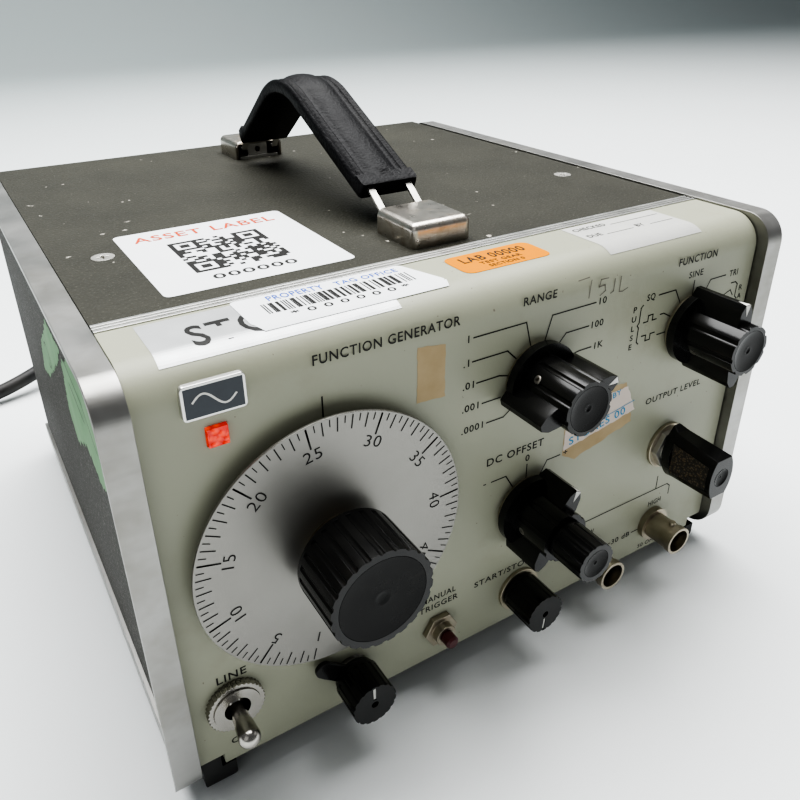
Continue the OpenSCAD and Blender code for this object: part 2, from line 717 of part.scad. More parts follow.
// The level knob: a bar that narrows from a flared base to a lens-shaped face, with a flat pocket
// in both sides, in one with its shaft.
module level_knob() {
    z0 = washer_t + nut_t + run_gap;
    flare = z0 + 3;
    color([0.05, 0.05, 0.05]) on_panel(output_x, middle_z) rotate(level_angle) {
        difference() {
            intersection() {
                translate([0, 0, z0]) linear_extrude(level_reach - z0) bar_outline(level_base + 1, level_w);
                rotate([90, 0, 0]) linear_extrude(2 * level_w, center = true)
                    polygon([[-level_base, z0], [level_base, z0], [level_base - 1.4, flare],
                        [level_face, level_reach], [-level_face, level_reach], [1.4 - level_base, flare]]);
            }
            for (s = [-1, 1]) translate([0, s * (level_w / 2 + 0.3), 0]) rotate([90, 0, 0])
                linear_extrude(2, center = true) polygon([[-5.4, flare], [5.4, flare],
                    [4.2, level_reach - 1.6], [-4.2, level_reach - 1.6]]);
            translate([0, 0, z0 - 1]) cylinder(r = bushing_r + run_gap - 0.3, h = 4.2);
            translate([0, 0, 10]) rotate([-90, 0, 0]) translate([0, 0, 2.6]) cylinder(r = 1.2, h = 6, $fn = 24);
            translate([0, 0, level_reach - 0.6]) cylinder(r = 3, h = 2);
        }
        translate([0, 0, -panel_t - 8]) cylinder(r = shaft_r, h = panel_t + 8 + 8);
    }
}
// A lens-shaped outline, half as long as given, made where two circles cross.
module bar_outline(half_l, w) {
    r = (half_l * half_l + w * w / 4) / w;
    intersection() {
        translate([0, r - w / 2]) circle(r, $fn = 72);
        translate([0, w / 2 - r]) circle(r, $fn = 72);
    }
}
module level_pot() {
    color([0.45, 0.45, 0.42]) on_panel(output_x, middle_z)
        control(bushing_r, 6, shaft_r + shaft_gap, washer_t, 6.9, 12, 16);
}

module phase_knob() {
    color([0.05, 0.05, 0.05]) on_panel(mid_x, lower_z) small_knob(skirt_gap, mark_angle);
}
// A small fluted knob with a white mark's slot in its face, in one with its shaft.
module small_knob(z0, angle) {
    difference() {
        fluted(small_knob_r, z0, small_reach, 18, 0.6, 1);
        translate([0, 0, z0 - 1]) cylinder(r = 4.9, h = 2.8);
        rotate(angle) translate([1.6, -0.4, small_reach - 0.3]) cube([4, 0.8, 1]);
    }
    translate([0, 0, -panel_t - 8]) cylinder(r = small_shaft_r, h = panel_t + 8 + z0 + 4);
}
module phase_pot() {
    color([0.45, 0.45, 0.42]) on_panel(mid_x, lower_z)
        control(small_bushing_r, washer_t + 1.7, small_shaft_r + shaft_gap, washer_t, 4.6, 8, 12);
}

// The mode switch: a lever on a hollow shaft, and a small knob on the shaft inside it.
module mode_lever() {
    bore_r = small_shaft_r + shaft_gap;
    color([0.07, 0.07, 0.07]) on_panel(mode_x, lower_z) {
        translate([0, 0, lever_z]) linear_extrude(lever_t) difference() {
            union() {
                circle(5.6);
                rotate(lever_angle) translate([0, -2.4]) square([11.6, 4.8]);
                rotate(lever_angle) translate([11.6, 0]) circle(2.4);
            }
            circle(bore_r);
        }
        translate([0, 0, -panel_t - 7]) linear_extrude(panel_t + 7 + lever_z) difference() {
            circle(2.3);
            circle(bore_r);
        }
    }
}
module mode_knob() {
    color([0.05, 0.05, 0.05]) on_panel(mode_x, lower_z) small_knob(lever_z + lever_t + run_gap, 90);
}
module mode_switch() {
    color([0.45, 0.45, 0.42]) on_panel(mode_x, lower_z)
        control(small_bushing_r, 1.1, 2.36, 0, 4.6, 8, 14);
}

// Turned washers under the knobs on the panel.
module dress_washers() {
    color([0.80, 0.75, 0.60]) for (p = [[mid_x, upper_z, 9.4, bushing_r], [function_x, upper_z, 9.4, bushing_r],
            [mid_x, middle_z, 9.4, bushing_r], [output_x, middle_z, 7.8, bushing_r],
            [mid_x, lower_z, 7.2, small_bushing_r]])
        on_panel(p[0], p[1]) difference() {
            cylinder(r = p[2], h = washer_t);
            translate([0, 0, -1]) cylinder(r = p[3] + 0.05, h = washer_t + 2);
        }
}

// The line switch: a body with a threaded bushing, a knurled nut, and a lever on a ball and pin.
module line_switch() {
    color([0.55, 0.55, 0.52]) on_panel(line_x, line_z) difference() {
        union() {
            translate([0, 0, -panel_t - 4]) cylinder(r = 5.8, h = panel_t + 6.6);
            translate([-6.5, -14, -panel_t - 20]) cube([13, 28, 17]);
        }
        translate([0, 0, line_pivot - 3]) cylinder(r = 3.3, h = 8);
        translate([0, 0, line_pivot - 7]) cylinder(r = 2.6, h = 8);
        translate([-8, 0, line_pivot]) rotate([0, 90, 0]) cylinder(r = line_pin_r + shaft_gap, h = 16);
    }
}
module line_switch_nut() {
    color([0.74, 0.74, 0.72]) on_panel(line_x, line_z) difference() {
        cylinder(r = line_nut_r, h = 2.2);
        translate([0, 0, -1]) cylinder(r = 5.85, h = 5);
        for (k = [1:36]) rotate(k * 10) translate([line_nut_r + 0.2, 0, -1]) cylinder(r = 0.5, h = 5, $fn = 16);
    }
}
module line_lever() {
    color([0.80, 0.80, 0.78]) on_panel(line_x, line_z) translate([0, 0, line_pivot]) rotate([bat_tilt, 0, 0]) {
        sphere(2.6);
        translate([-4.6, 0, 0]) rotate([0, 90, 0]) cylinder(r = line_pin_r, h = 9.2);
        cylinder(r1 = 1.4, r2 = bat_r, h = bat_l - bat_r);
        translate([0, 0, bat_l - bat_r]) sphere(bat_r);
        translate([0, 0, -5]) cylinder(r = 1, h = 4);
    }
}

// The trigger push button and its switch, with a hexagon nut.
module trigger_switch() {
    color([0.75, 0.75, 0.72]) on_panel(button_x, lower_z)
        control(3.2, 4.2, button_r + shaft_gap, 0, 5.4, 6, 14);
}
module trigger_button() {
    color([0.35, 0.05, 0.07]) on_panel(button_x, lower_z) {
        translate([0, 0, -panel_t - 5]) cylinder(r = button_r, h = panel_t + 5 + button_reach - 0.6);
        translate([0, 0, button_reach - 0.61]) cylinder(r1 = button_r, r2 = button_r - 0.6, h = 0.61);
    }
}

// A bayonet jack: shell with two lugs, flange, insulator, contact, and body behind the panel.
module signal_jack() {
    difference() {
        union() {
            translate([0, 0, -panel_t - 12]) cylinder(r = 4, h = 12);
            translate([0, 0, -panel_t - 2]) cylinder(r = 6.9, h = 2, $fn = 6);
            translate([0, 0, -panel_t - 0.1]) cylinder(r = jack_r - shell_step, h = panel_t + jack_reach + 0.1);
            translate([0, 0, jack_reach - collar_l]) cylinder(r = jack_r, h = collar_l);
            cylinder(r = 5.9, h = 2);
            for (s = [-1, 1]) translate([0, 0, jack_reach - collar_l - 1.4]) rotate([s * 90, 0, 0])
                cylinder(r = 1, h = jack_r + 0.7, $fn = 24);
        }
        translate([0, 0, 3]) cylinder(r = jack_r - 0.9, h = jack_reach);
    }
    translate([0, 0, 2.9]) difference() {
        cylinder(r = 2.3, h = 6);
        translate([0, 0, 2]) cylinder(r = 0.75, h = 6, $fn = 24);
    }
}
module signal_jacks() {
    color([0.76, 0.76, 0.74]) {
        for (x = [low_x, output_x]) on_panel(x, lower_z) signal_jack();
        for (x = rear_jack_x) on_rear(x, rear_jack_z) signal_jack();
    }
}

module pilot_lens() {
    color([0.45, 0.03, 0.03]) on_panel(lens_place[0], lens_place[1]) difference() {
        translate([-lens_w / 2, -lens_w / 2, -6]) cube([lens_w, lens_w, 7]);
        translate([0, 0, -7]) cylinder(r = 1.4, h = 5, $fn = 24);
    }
}
module badge() {
    color([0.75, 0.75, 0.73]) on_panel(badge_place[0], badge_place[1]) intersection() {
        translate([-badge_size[0] / 2, -badge_size[1] / 2, 0]) linear_extrude(8) rounded(badge_size[0], badge_size[1], 1);
        translate([0, 0, -2]) cube([40, 40, 7], center = true);
    }
}

// The circuit board on four pillars over the deck, with its larger parts.
module main_board() {
    board = [-86, deck_y + 4, deck_z + sheet_t + 6];
    size = [118, 118, 1.6];
    color([0.15, 0.32, 0.18]) translate(board) {
        cube(size);
        for (x = [5, size[0] - 5], y = [5, size[1] - 24]) translate([x, y, -6]) cylinder(r = 2.5, h = 6.1);
        for (k = [0:3]) translate([14 + 27 * k, 22, 1.5]) cylinder(r = 6, h = 18);
        for (k = [0:4], j = [0, 1]) translate([10 + 20 * k, 42 + 26 * j, 1.5]) cube([12, 14, 6]);
    }
}

// The mains transformer: an iron core around a winding, with feet screwed to the deck.
module transformer() {
    at = [60, deck_y + 52, deck_z + sheet_t];
    color([0.28, 0.27, 0.25]) translate(at) {
        difference() {
            translate([-24, -16, 0]) cube([48, 32, 42]);
            for (s = [-1, 1]) translate([s * 12 - 4, -17, 9]) cube([8, 34, 24]);
        }
        difference() {
            translate([-16.5, -24, 8.6]) cube([33, 48, 24.8]);
            translate([-7.9, -15.9, 8]) cube([15.8, 31.8, 26]);
        }
        for (s = [-1, 1]) difference() {
            translate([s * 27 - 5, -16, 0]) cube([10, 32, 1.5]);
            translate([s * 28, 0, -1]) cylinder(r = 1.8, h = 4, $fn = 24);
        }
    }
}

// The mains inlet: a shroud with three blades, screwed behind a flange on the rear panel.
module mains_inlet() {
    hole_w = nose_w + 2 * fit_gap;
    hole_h = nose_h + 2 * fit_gap;
    color([0.08, 0.08, 0.08]) on_rear(inlet_x, inlet_z) {
        difference() {
            union() {
                translate([-20, -11.5, 0]) linear_extrude(2) rounded(40, 23, 3);
                translate([-13.6, -9.9, -19]) cube([27.2, 19.8, 19.1]);
            }
            translate([-hole_w / 2, -hole_h / 2, -nose_l - 1]) cube([hole_w, hole_h, 30]);
            for (s = [-1, 1]) translate([s * 17, 0, -1]) cylinder(r = 1.6, h = 4, $fn = 24);
        }
        for (p = [[-7, 1.8], [0, -1.8], [7, 1.8]])
            translate([p[0] - 1, p[1] - 2, -nose_l - 1.1]) cube([2, 4, 12]);
    }
}

module fuse_holder() {
    color([0.08, 0.08, 0.08]) on_rear(fuse_x, inlet_z) difference() {
        union() {
            translate([0, 0, -panel_t - 30]) cylinder(r = 5.5, h = 30.1);
            translate([0, 0, -panel_t - 4]) cylinder(r = 6.2, h = panel_t + 4.1);
            translate([0, 0, -panel_t - 4]) cylinder(r = 9, h = 3, $fn = 6);
            cylinder(r = 8.5, h = 2.5);
        }
        translate([0, 0, -28]) cylinder(r = 4, h = 40);
    }
}
module fuse_cap() {
    color([0.06, 0.06, 0.06]) on_rear(fuse_x, inlet_z) difference() {
        union() {
            translate([0, 0, -8]) cylinder(r = 3.95, h = 10.9);
            translate([0, 0, 2.8]) cylinder(r = 7.2, h = 6);
        }
        for (k = [1:20]) rotate(k * 18) translate([7.5, 0, 3.6]) cylinder(r = 0.6, h = 8, $fn = 16);
        translate([-5, -0.6, 7.6]) cube([10, 1.2, 3]);
        translate([0, 0, -9]) cylinder(r = 2.7, h = 6);
    }
}

// The voltage selector: a slide switch behind the panel, and the slider in its slot.
module voltage_selector() {
    color([0.09, 0.09, 0.09]) on_rear(selector_x, inlet_z) difference() {
        union() {
            translate([-6.5, -3.1, -panel_t - 1]) cube([13, 6.2, panel_t + 0.8]);
            translate([-15, -7, -panel_t - 12]) cube([30, 14, 12]);
        }
        translate([-5.4, -2.4, -panel_t - 4]) cube([10.8, 4.8, 20]);
    }
}
module selector_slider() {
    color([0.60, 0.08, 0.07]) on_rear(selector_x, inlet_z) difference() {
        translate([-5.3, -2.1, -panel_t - 3.8]) cube([5.2, 4.2, panel_t + 3.4]);
        translate([-3.2, -3, -0.9]) cube([1, 6, 2]);
    }
}

// The cord's connector in the inlet: nose with three slots, ribbed grip and tapered strain relief.
module cord_connector() {
    grip_l = 32;
    relief_l = lead_route[0][1] - rear_panel_y - 2.2 - grip_l;
    color([0.10, 0.10, 0.10]) on_rear(inlet_x, inlet_z) {
        difference() {
            translate([-nose_w / 2, -nose_h / 2, -nose_l]) cube([nose_w, nose_h, nose_l + 3]);
            for (p = [[-7, 1.8], [0, -1.8], [7, 1.8]])
                translate([p[0] - 1.4, p[1] - 2.4, -nose_l - 1]) cube([2.8, 4.8, 13.5]);
        }
        difference() {
            translate([-14.5, -9.5, 2.2]) linear_extrude(grip_l) rounded(29, 19, 5);
            for (k = [1:5], s = [-1, 1]) translate([-20, s * 9.6 - 0.6, 8 + 4 * k]) cube([40, 1.2, 1.4]);
        }
        difference() {
            translate([0, 0, 2.1 + grip_l]) cylinder(r1 = 6.5, r2 = cord_d / 2 + 1, h = relief_l + 0.1);
            for (k = [1:5]) translate([0, 0, grip_l + 2 + relief_l * k / 6]) difference() {
                cylinder(r = 8, h = 1.4);
                cylinder(r = 3.9, h = 1.4);
            }
        }
    }
}

// A tube of one diameter along a route: a ring of points square to the route at each of its points.
function heading(r, k) = let (d = r[min(k + 1, len(r) - 1)] - r[max(k - 1, 0)]) d / norm(d);
function across(h) = let (c = cross(h, [0, 0, 1])) c / norm(c);
module tube(route, d, sides) {
    points = [for (k = [0:len(route) - 1], j = [0:sides - 1])
        let (h = heading(route, k), u = across(h), v = cross(u, h), a = 360 * j / sides)
            route[k] + d / 2 * (cos(a) * u + sin(a) * v)];
    walls = [for (k = [0:len(route) - 2], j = [0:sides - 1])
        let (n = (j + 1) % sides) [k * sides + j, k * sides + n, (k + 1) * sides + n, (k + 1) * sides + j]];
    first = [for (j = [0:sides - 1]) sides - 1 - j];
    last = [for (j = [0:sides - 1]) (len(route) - 1) * sides + j];
    polyhedron(points, concat(walls, [first, last]));
}
module cord_lead() {
    color([0.08, 0.08, 0.08]) tube(lead_route, cord_d, 10);
}
// The stored length: a neat round coil of turns beside and on each other.
module cord_coil() {
    color([0.08, 0.08, 0.08]) translate([coil_at[0], coil_at[1], 0]) rotate_extrude()
        translate([coil_r - coil_w / 2, 0]) rounded(coil_w, coil_h, cord_d / 2);
}
module cord_tail() {
    color([0.08, 0.08, 0.08]) tube(tail_route, cord_d, 10);
}
// The mains plug beside the coil: tapered strain relief, body and three prongs.
module cord_plug() {
    at = tail_route[len(tail_route) - 1];
    color([0.10, 0.10, 0.10]) translate(at) rotate([90, 0, 0]) {
        translate([0, 0, -0.5]) cylinder(r1 = cord_d / 2 + 0.8, r2 = 6.5, h = 20);
        translate([-13, -at[2], 18]) linear_extrude(28) rounded(26, 22, 6);
        for (s = [-1, 1]) translate([s * 6.35 - 0.75, -3.2 + 2.5, 45.5]) cube([1.5, 6.4, 18]);
        translate([0, -4.6, 45.5]) cylinder(r = 2.4, h = 20);
    }
}
// The band that holds the coil together.
module cord_tie() {
    band_t = 1;
    color([0.05, 0.05, 0.05]) translate([coil_at[0] - 5, coil_at[1] - coil_r - coil_w / 2, 0]) difference() {
        translate([0, -band_t, 0]) cube([10, coil_w + 2 * band_t, coil_h + band_t]);
        translate([-1, 0, band_t]) cube([12, coil_w, coil_h - band_t]);
    }
}

left_casting();
right_casting();
left_skin();
right_skin();
chassis_deck();
front_panel();
trim_strip();
top_cover();
top_screws();
bottom_cover();
rear_panel();
rear_bumpers();
front_feet();
rear_feet();
tilt_stand();
handle_strap();
handle_prongs();
handle_caps();
handle_brackets();
dial();
dial_hub();
dial_shaft();
dial_knob();
frequency_pot();
range_knob();
range_switch();
function_knob();
function_switch();
offset_switch_knob();
offset_level_knob();
offset_switch();
level_knob();
level_pot();
phase_knob();
phase_pot();
mode_lever();
mode_knob();
mode_switch();
dress_washers();
line_switch();
line_switch_nut();
line_lever();
trigger_switch();
trigger_button();
signal_jacks();
pilot_lens();
badge();
main_board();
transformer();
mains_inlet();
fuse_holder();
fuse_cap();
voltage_selector();
selector_slider();
cord_connector();
cord_lead();
cord_coil();
cord_tail();
cord_plug();
cord_tie();
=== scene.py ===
import json
import math
import random

import bmesh
import bpy
import numpy as np
from mathutils import Matrix, Vector


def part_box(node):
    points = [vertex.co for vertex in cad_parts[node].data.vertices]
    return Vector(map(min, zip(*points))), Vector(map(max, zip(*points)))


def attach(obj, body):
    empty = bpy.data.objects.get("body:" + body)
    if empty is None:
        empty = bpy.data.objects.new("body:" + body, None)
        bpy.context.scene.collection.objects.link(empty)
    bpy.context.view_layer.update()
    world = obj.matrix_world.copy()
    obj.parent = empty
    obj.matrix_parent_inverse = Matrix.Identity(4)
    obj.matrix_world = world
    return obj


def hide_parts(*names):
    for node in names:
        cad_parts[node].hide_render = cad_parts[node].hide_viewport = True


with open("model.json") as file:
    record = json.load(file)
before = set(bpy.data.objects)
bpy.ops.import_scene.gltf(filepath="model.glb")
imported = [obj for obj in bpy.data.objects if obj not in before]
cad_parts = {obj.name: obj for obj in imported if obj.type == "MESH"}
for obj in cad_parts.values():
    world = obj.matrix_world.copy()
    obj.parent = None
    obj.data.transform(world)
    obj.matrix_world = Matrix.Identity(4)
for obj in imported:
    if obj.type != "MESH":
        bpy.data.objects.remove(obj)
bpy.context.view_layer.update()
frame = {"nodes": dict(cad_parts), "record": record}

MM = 0.001
node_body = {}
for body, nodes in frame["record"]["behaviour"]["bodies"].items():
    for node in nodes:
        node_body[node] = body
node_slot = {row["node"]: row["material_slot"] for row in frame["record"]["subparts"]}

# --- Camera ---
# Held above and to the left of the front, close enough for a strong perspective, turned towards
# the instrument's rear right. Its picture is square, and the lens looks a little above the middle.
camera = bpy.data.objects.new("camera", bpy.data.cameras.new("camera"))
bpy.context.scene.collection.objects.link(camera)
camera.data.sensor_width = 36
camera.data.lens = 34.168
camera.data.shift_x = 0.0008
camera.data.shift_y = -0.0527
camera.data.clip_start = 0.01
yaw, pitch, roll = 0.548, -0.474, -0.011
ahead = Vector((math.sin(yaw) * math.cos(pitch), math.cos(yaw) * math.cos(pitch), math.sin(pitch)))
level = Vector((math.cos(yaw), -math.sin(yaw), 0))
upright = level.cross(ahead)
right = math.cos(roll) * level + math.sin(roll) * upright
above = math.cos(roll) * upright - math.sin(roll) * level
eye = (-0.111891, -0.214539, 0.18669)
camera.matrix_world = Matrix.Translation(eye) @ Matrix((right, above, -ahead)).transposed().to_4x4()
bpy.context.scene.camera = camera


# --- Mains cord ---
# A round black mains cord, 6.5 mm thick. It comes out of the connector's strain relief at the rear,
# sags to the table, passes the instrument's left rear corner, and its spare length is wound into a
# coil of four layers. It ends in a three-pin plug.
class Wire:
    """A socket of a material's nodes. Arithmetic on it adds Math nodes, and node() adds any other."""

    def __init__(self, tree, socket=None):
        self.tree = tree
        self.socket = socket

    def node(self, kind, settings, inputs, output=0):
        made = self.tree.nodes.new(kind)
        for key, value in settings.items():
            if key == "stops":
                while len(made.color_ramp.elements) < len(value):
                    made.color_ramp.elements.new(0.5)
                for stop, (place, shade) in zip(made.color_ramp.elements, value):
                    stop.position = place
                    stop.color = (shade, shade, shade, 1) if isinstance(shade, (int, float)) else (*shade, 1)
            else:
                setattr(made, key, value)
        for key, value in inputs.items():
            if isinstance(value, Wire):
                self.tree.links.new(value.socket, made.inputs[key])
            else:
                made.inputs[key].default_value = value
        return Wire(self.tree, made.outputs[output])

    def maths(self, operation, first, second):
        return self.node("ShaderNodeMath", {"operation": operation}, {0: first, 1: second})

    def __add__(self, other):
        return self.maths("ADD", self, other)

    __radd__ = __add__

    def __mul__(self, other):
        return self.maths("MULTIPLY", self, other)

    __rmul__ = __mul__

    def place(self):
        """The point on the piece, in metres, in the part's own frame."""
        return self.node("ShaderNodeTexCoord", {}, {}, "Object")

    def stretched(self, x, y, z):
        place = self.place()
        return self.node("ShaderNodeVectorMath", {"operation": "MULTIPLY"}, {0: place, 1: (x, y, z)})

    def noise(self, scale, detail=3.0, rough=0.55, place=None):
        inputs = {"Vector": place or self.place(), "Scale": scale, "Detail": detail, "Roughness": rough}
        return self.node("ShaderNodeTexNoise", {}, inputs, 0)

    def cells(self, scale, feature="F1", output="Distance", place=None):
        settings = {"feature": feature}
        return self.node("ShaderNodeTexVoronoi", settings, {"Vector": place or self.place(),
            "Scale": scale}, output)

    def ramp(self, stops):
        return self.node("ShaderNodeValToRGB", {"stops": stops}, {0: self})

    def blend(self, low, high):
        """The colour low where this is 0 and high where it is 1."""
        inputs = {0: self, 6: low if isinstance(low, Wire) else (*low, 1),
                  7: high if isinstance(high, Wire) else (*high, 1)}
        return self.node("ShaderNodeMix", {"data_type": "RGBA"}, inputs, 2)

    def bump(self, strength, distance, under=None):
        inputs = {"Strength": strength, "Distance": distance, "Height": self}
        if under:
            inputs["Normal"] = under
        return self.node("ShaderNodeBump", {}, inputs)


def material(name, varies, **fixed):
    """A finish: fixed values go on the shader's own sockets, and varies(wire) gives the rest."""
    made = bpy.data.materials.new(name)
    made.use_nodes = True
    shader = made.node_tree.nodes["Principled BSDF"]
    for key, value in fixed.items():
        shader.inputs[key.replace("_", " ")].default_value = value
    for key, wire in varies(Wire(made.node_tree)).items():
        made.node_tree.links.new(wire.socket, shader.inputs[key])
    return made


def mottled(name, grain, low, high, rough, bump=None, **fixed):
    """A finish that wanders between two colours. Its roughness is rough[0] and up to rough[1] more."""
    def varies(w):
        made = {"Base Color": w.noise(*grain).blend(low, high),
                "Roughness": rough[0] + rough[1] * w.noise(*rough[2:])}
        if bump:
            made["Normal"] = w.noise(*bump[:2]).bump(*bump[2:])
        return made
    return material(name, varies, **fixed)


def sheath(w):
    dust = w.noise(40, 4, 0.6)
    grain = w.noise(900, 2)
    return {
        "Base Color": dust.ramp([(0.45, 0), (0.75, 1)]).blend((0.012, 0.012, 0.012), (0.035, 0.033, 0.03)),
        "Roughness": 0.42 + 0.2 * dust,
        "Normal": grain.bump(0.25, 0.0003),
    }


def small_mesh(name, points, shapes, finish, body, slot_name, *nodes):
    """A piece from its points and faces."""
    mesh = bpy.data.meshes.new(name)
    mesh.from_pydata([tuple(p) for p in points], [], shapes)
    piece = add(name, mesh)
    piece.data.materials.append(finish)
    return declare(piece, body, slot_name, *nodes)


def through(points, steps):
    """A smooth line through the points, with that many steps from each to the next."""
    line = []
    for k in range(len(points) - 1):
        a = points[max(k - 1, 0)]
        b, c = points[k], points[k + 1]
        d = points[min(k + 2, len(points) - 1)]
        for step in range(steps):
            t = step / steps
            line.append(0.5 * (2 * b + (c - a) * t + (2 * a - 5 * b + 4 * c - d) * t * t
                               + (3 * b - a - 3 * c + d) * t * t * t))
    return line + [points[-1]]


def add(name, mesh):
    """An object of that mesh in the scene, at the origin."""
    made = bpy.data.objects.new(name, mesh)
    bpy.context.scene.collection.objects.link(made)
    return made


def settled(piece):
    """The piece's mesh with its modifiers worked out."""
    return bpy.data.meshes.new_from_object(piece.evaluated_get(bpy.context.evaluated_depsgraph_get()))


def declare(piece, body, slot_name, *nodes):
    """The piece rides on the body and stands for the nodes. slot_name is not used."""
    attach(piece, body)
    if nodes:
        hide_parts(*nodes)
    return piece


cord_d = 6.5
lead_route = [(15, 163, 43), (14.9, 170, 42.8), (14, 178, 42), (11, 186.5, 40.5), (5, 194, 38.2),
    (-4, 199.2, 35.2), (-14.5, 201.2, 31.8), (-25.5, 200, 28), (-36.5, 196.2, 24.2),
    (-48, 190.5, 20.4), (-59.5, 184, 16.8), (-71, 177.3, 13.6), (-83, 170.8, 10.8),
    (-95, 165.4, 8.2), (-107, 161.6, 6), (-119, 159.6, 4.5), (-131, 159.2, 3.6),
    (-143, 159.9, 3.3), (-155, 160.7, 3.3), (-166, 161, 3.3), (-177, 161, 3.3)]
tail_route = [(-219.1, 118.9, 22.8), (-219.1, 106, 22.3), (-219.3, 93, 20.2),
    (-219.6, 80, 16.8), (-220, 67, 13.4), (-220, 54, 11.3), (-220, 45, 11)]
coil_centre = Vector((-177, 118.9, 0))
coil_r = 36
layer_count = 4
climb = 0.25
turns = 8.25
layer_turns = (turns - climb * (layer_count - 1)) / layer_count


def coil_point(turn):
    """The coil's centreline, that many turns after the lead has reached it."""
    layer = min(int(turn / (layer_turns + climb)), layer_count - 1)
    within = turn - layer * (layer_turns + climb)
    drift = min(within, layer_turns) / layer_turns
    rise = max(within - layer_turns, 0) / climb
    if layer % 2:
        drift = 1 - drift
    radius = coil_r + layer_turns * cord_d * (0.5 - drift)
    height = cord_d * (0.5 + layer + (1 - math.cos(math.pi * rise)) / 2)
    angle = math.radians(90 + 360 * turn)
    return coil_centre + Vector((radius * math.cos(angle), radius * math.sin(angle), height))


lead = through([Vector(p) for p in lead_route], 4)
tail = through([Vector(p) for p in tail_route], 4)
wound = [coil_point(k / 24) for k in range(1, round(turns * 24))]
centreline = [MM * p for p in lead + wound + tail]
cord_curve = bpy.data.curves.new("mains_cord", "CURVE")
cord_curve.dimensions = "3D"
cord_curve.bevel_depth = cord_d / 2 * MM
cord_curve.bevel_resolution = 4
cord_curve.use_fill_caps = True
spline = cord_curve.splines.new("POLY")
spline.points.add(len(centreline) - 1)
for point, place in zip(spline.points, centreline):
    point.co = (*place, 1)
spline.use_smooth = True
mains_cord = add("mains_cord", cord_curve)
cord_sheath = material("cord_sheath", sheath, Specular_IOR_Level=0.4)
mains_cord.data.materials.append(cord_sheath)
cord_length = sum((b - a).length for a, b in zip(centreline, centreline[1:]))
declare(mains_cord, "case", "cord", "cord_lead", "cord_coil", "cord_tail")


# --- Connector, plug and tie on the cord ---
# Moulded black pieces: the connector in the rear inlet, the plug with its bright prongs, and the tie
# round the coil. Their solids have the right shape, so each is taken over with its sharp edges rounded.
def rounded_copy(node, name, edge, segments=2, sharp=35):
    """The solid's mesh with its edges rounded by that many millimetres, as a mesh of its own."""
    mesh = frame["nodes"][node].data.copy()
    work = bmesh.new()
    work.from_mesh(mesh)
    bmesh.ops.remove_doubles(work, verts=work.verts, dist=2e-6)
    bmesh.ops.dissolve_limit(work, angle_limit=math.radians(0.6), verts=work.verts, edges=work.edges)
    bmesh.ops.dissolve_degenerate(work, dist=2e-6, edges=work.edges)
    work.to_mesh(mesh)
    work.free()
    mesh.materials.clear()
    piece = add(name, mesh)
    if edge:
        bevel = piece.modifiers.new("edges", "BEVEL")
        bevel.width = edge * MM
        bevel.segments = segments
        bevel.limit_method = "ANGLE"
        bevel.angle_limit = math.radians(sharp)
        bevel.use_clamp_overlap = True
    mesh.shade_smooth()
    mesh.set_sharp_from_angle(angle=math.radians(sharp))
    if edge:
        weighted = piece.modifiers.new("weights", "WEIGHTED_NORMAL")
        weighted.mode = "FACE_AREA"
        weighted.weight = 100
        weighted.keep_sharp = False
    whole = settled(piece)
    piece.modifiers.clear()
    piece.data = whole
    return piece


def taken_over(node, finish, edge=0.15, segments=2, sharp=35):
    """The solid with rounded edges and that finish, in the node's place."""
    piece = rounded_copy(node, node + "_finished", edge, segments, sharp)
    piece.data.materials.append(finish)
    return declare(piece, node_body[node], node_slot[node], node)


moulded = material("moulded_black", lambda w: {
    "Base Color": w.noise(60, 4).ramp([(0.5, 0), (0.8, 1)]).blend((0.014, 0.014, 0.014), (0.03, 0.03, 0.028)),
    "Roughness": 0.45 + 0.15 * w.noise(120),
    "Normal": w.noise(1500, 2).bump(0.2, 0.0002)})
connector = taken_over("cord_connector", moulded, 0.5)
plug = taken_over("cord_plug", moulded, 0.5)
tie = taken_over("cord_tie", moulded, 0.2)

# --- Floor and light ---
# A matt white table that curves up into a wall far behind, its colour greyed towards the back as painted
# shade, and soft light from large panels above.
floor_mesh = bpy.data.meshes.new("floor")
near_y, sweep_y, sweep_r, wall_z, half_floor = -3.0, 1.6, 0.6, 3.0, 3.5
sweep = [(near_y, 0.0)] + [(sweep_y + sweep_r * math.sin(a), sweep_r - sweep_r * math.cos(a))
                           for a in np.linspace(0, math.pi / 2, 12)] + [(sweep_y + sweep_r, wall_z)]
floor_points = [(x, y, z) for y, z in sweep for x in (-half_floor, half_floor)]
floor_faces = [(2 * k, 2 * k + 1, 2 * k + 3, 2 * k + 2) for k in range(len(sweep) - 1)]
floor_mesh.from_pydata(floor_points, [], floor_faces)
floor_mesh.shade_smooth()
floor = add("floor", floor_mesh)


def table_top(w):
    behind = w.node("ShaderNodeSeparateXYZ", {}, {0: w.place()}, 1)
    # Painted shade: the colour greys with distance back, towards and up the wall.
    far = (0.5 * behind).ramp([(0.05, 0), (0.75, 1)])
    near = w.noise(3, 3).blend((0.79, 0.82, 0.82), (0.83, 0.85, 0.85))
    return {
        "Base Color": far.blend(near, (0.42, 0.47, 0.47)),
        "Roughness": 0.55 + 0.2 * w.noise(5),
    }


floor.data.materials.append(material("floor", table_top, Specular_IOR_Level=0.25))


def panel_light(name, at, towards, size, power):
    lamp = bpy.data.lights.new(name, "AREA")
    lamp.shape = "RECTANGLE"
    lamp.size, lamp.size_y = size
    lamp.energy = power
    made = add(name, lamp)
    made.location = at
    made.rotation_euler = (Vector(towards) - Vector(at)).to_track_quat("-Z", "Y").to_euler()


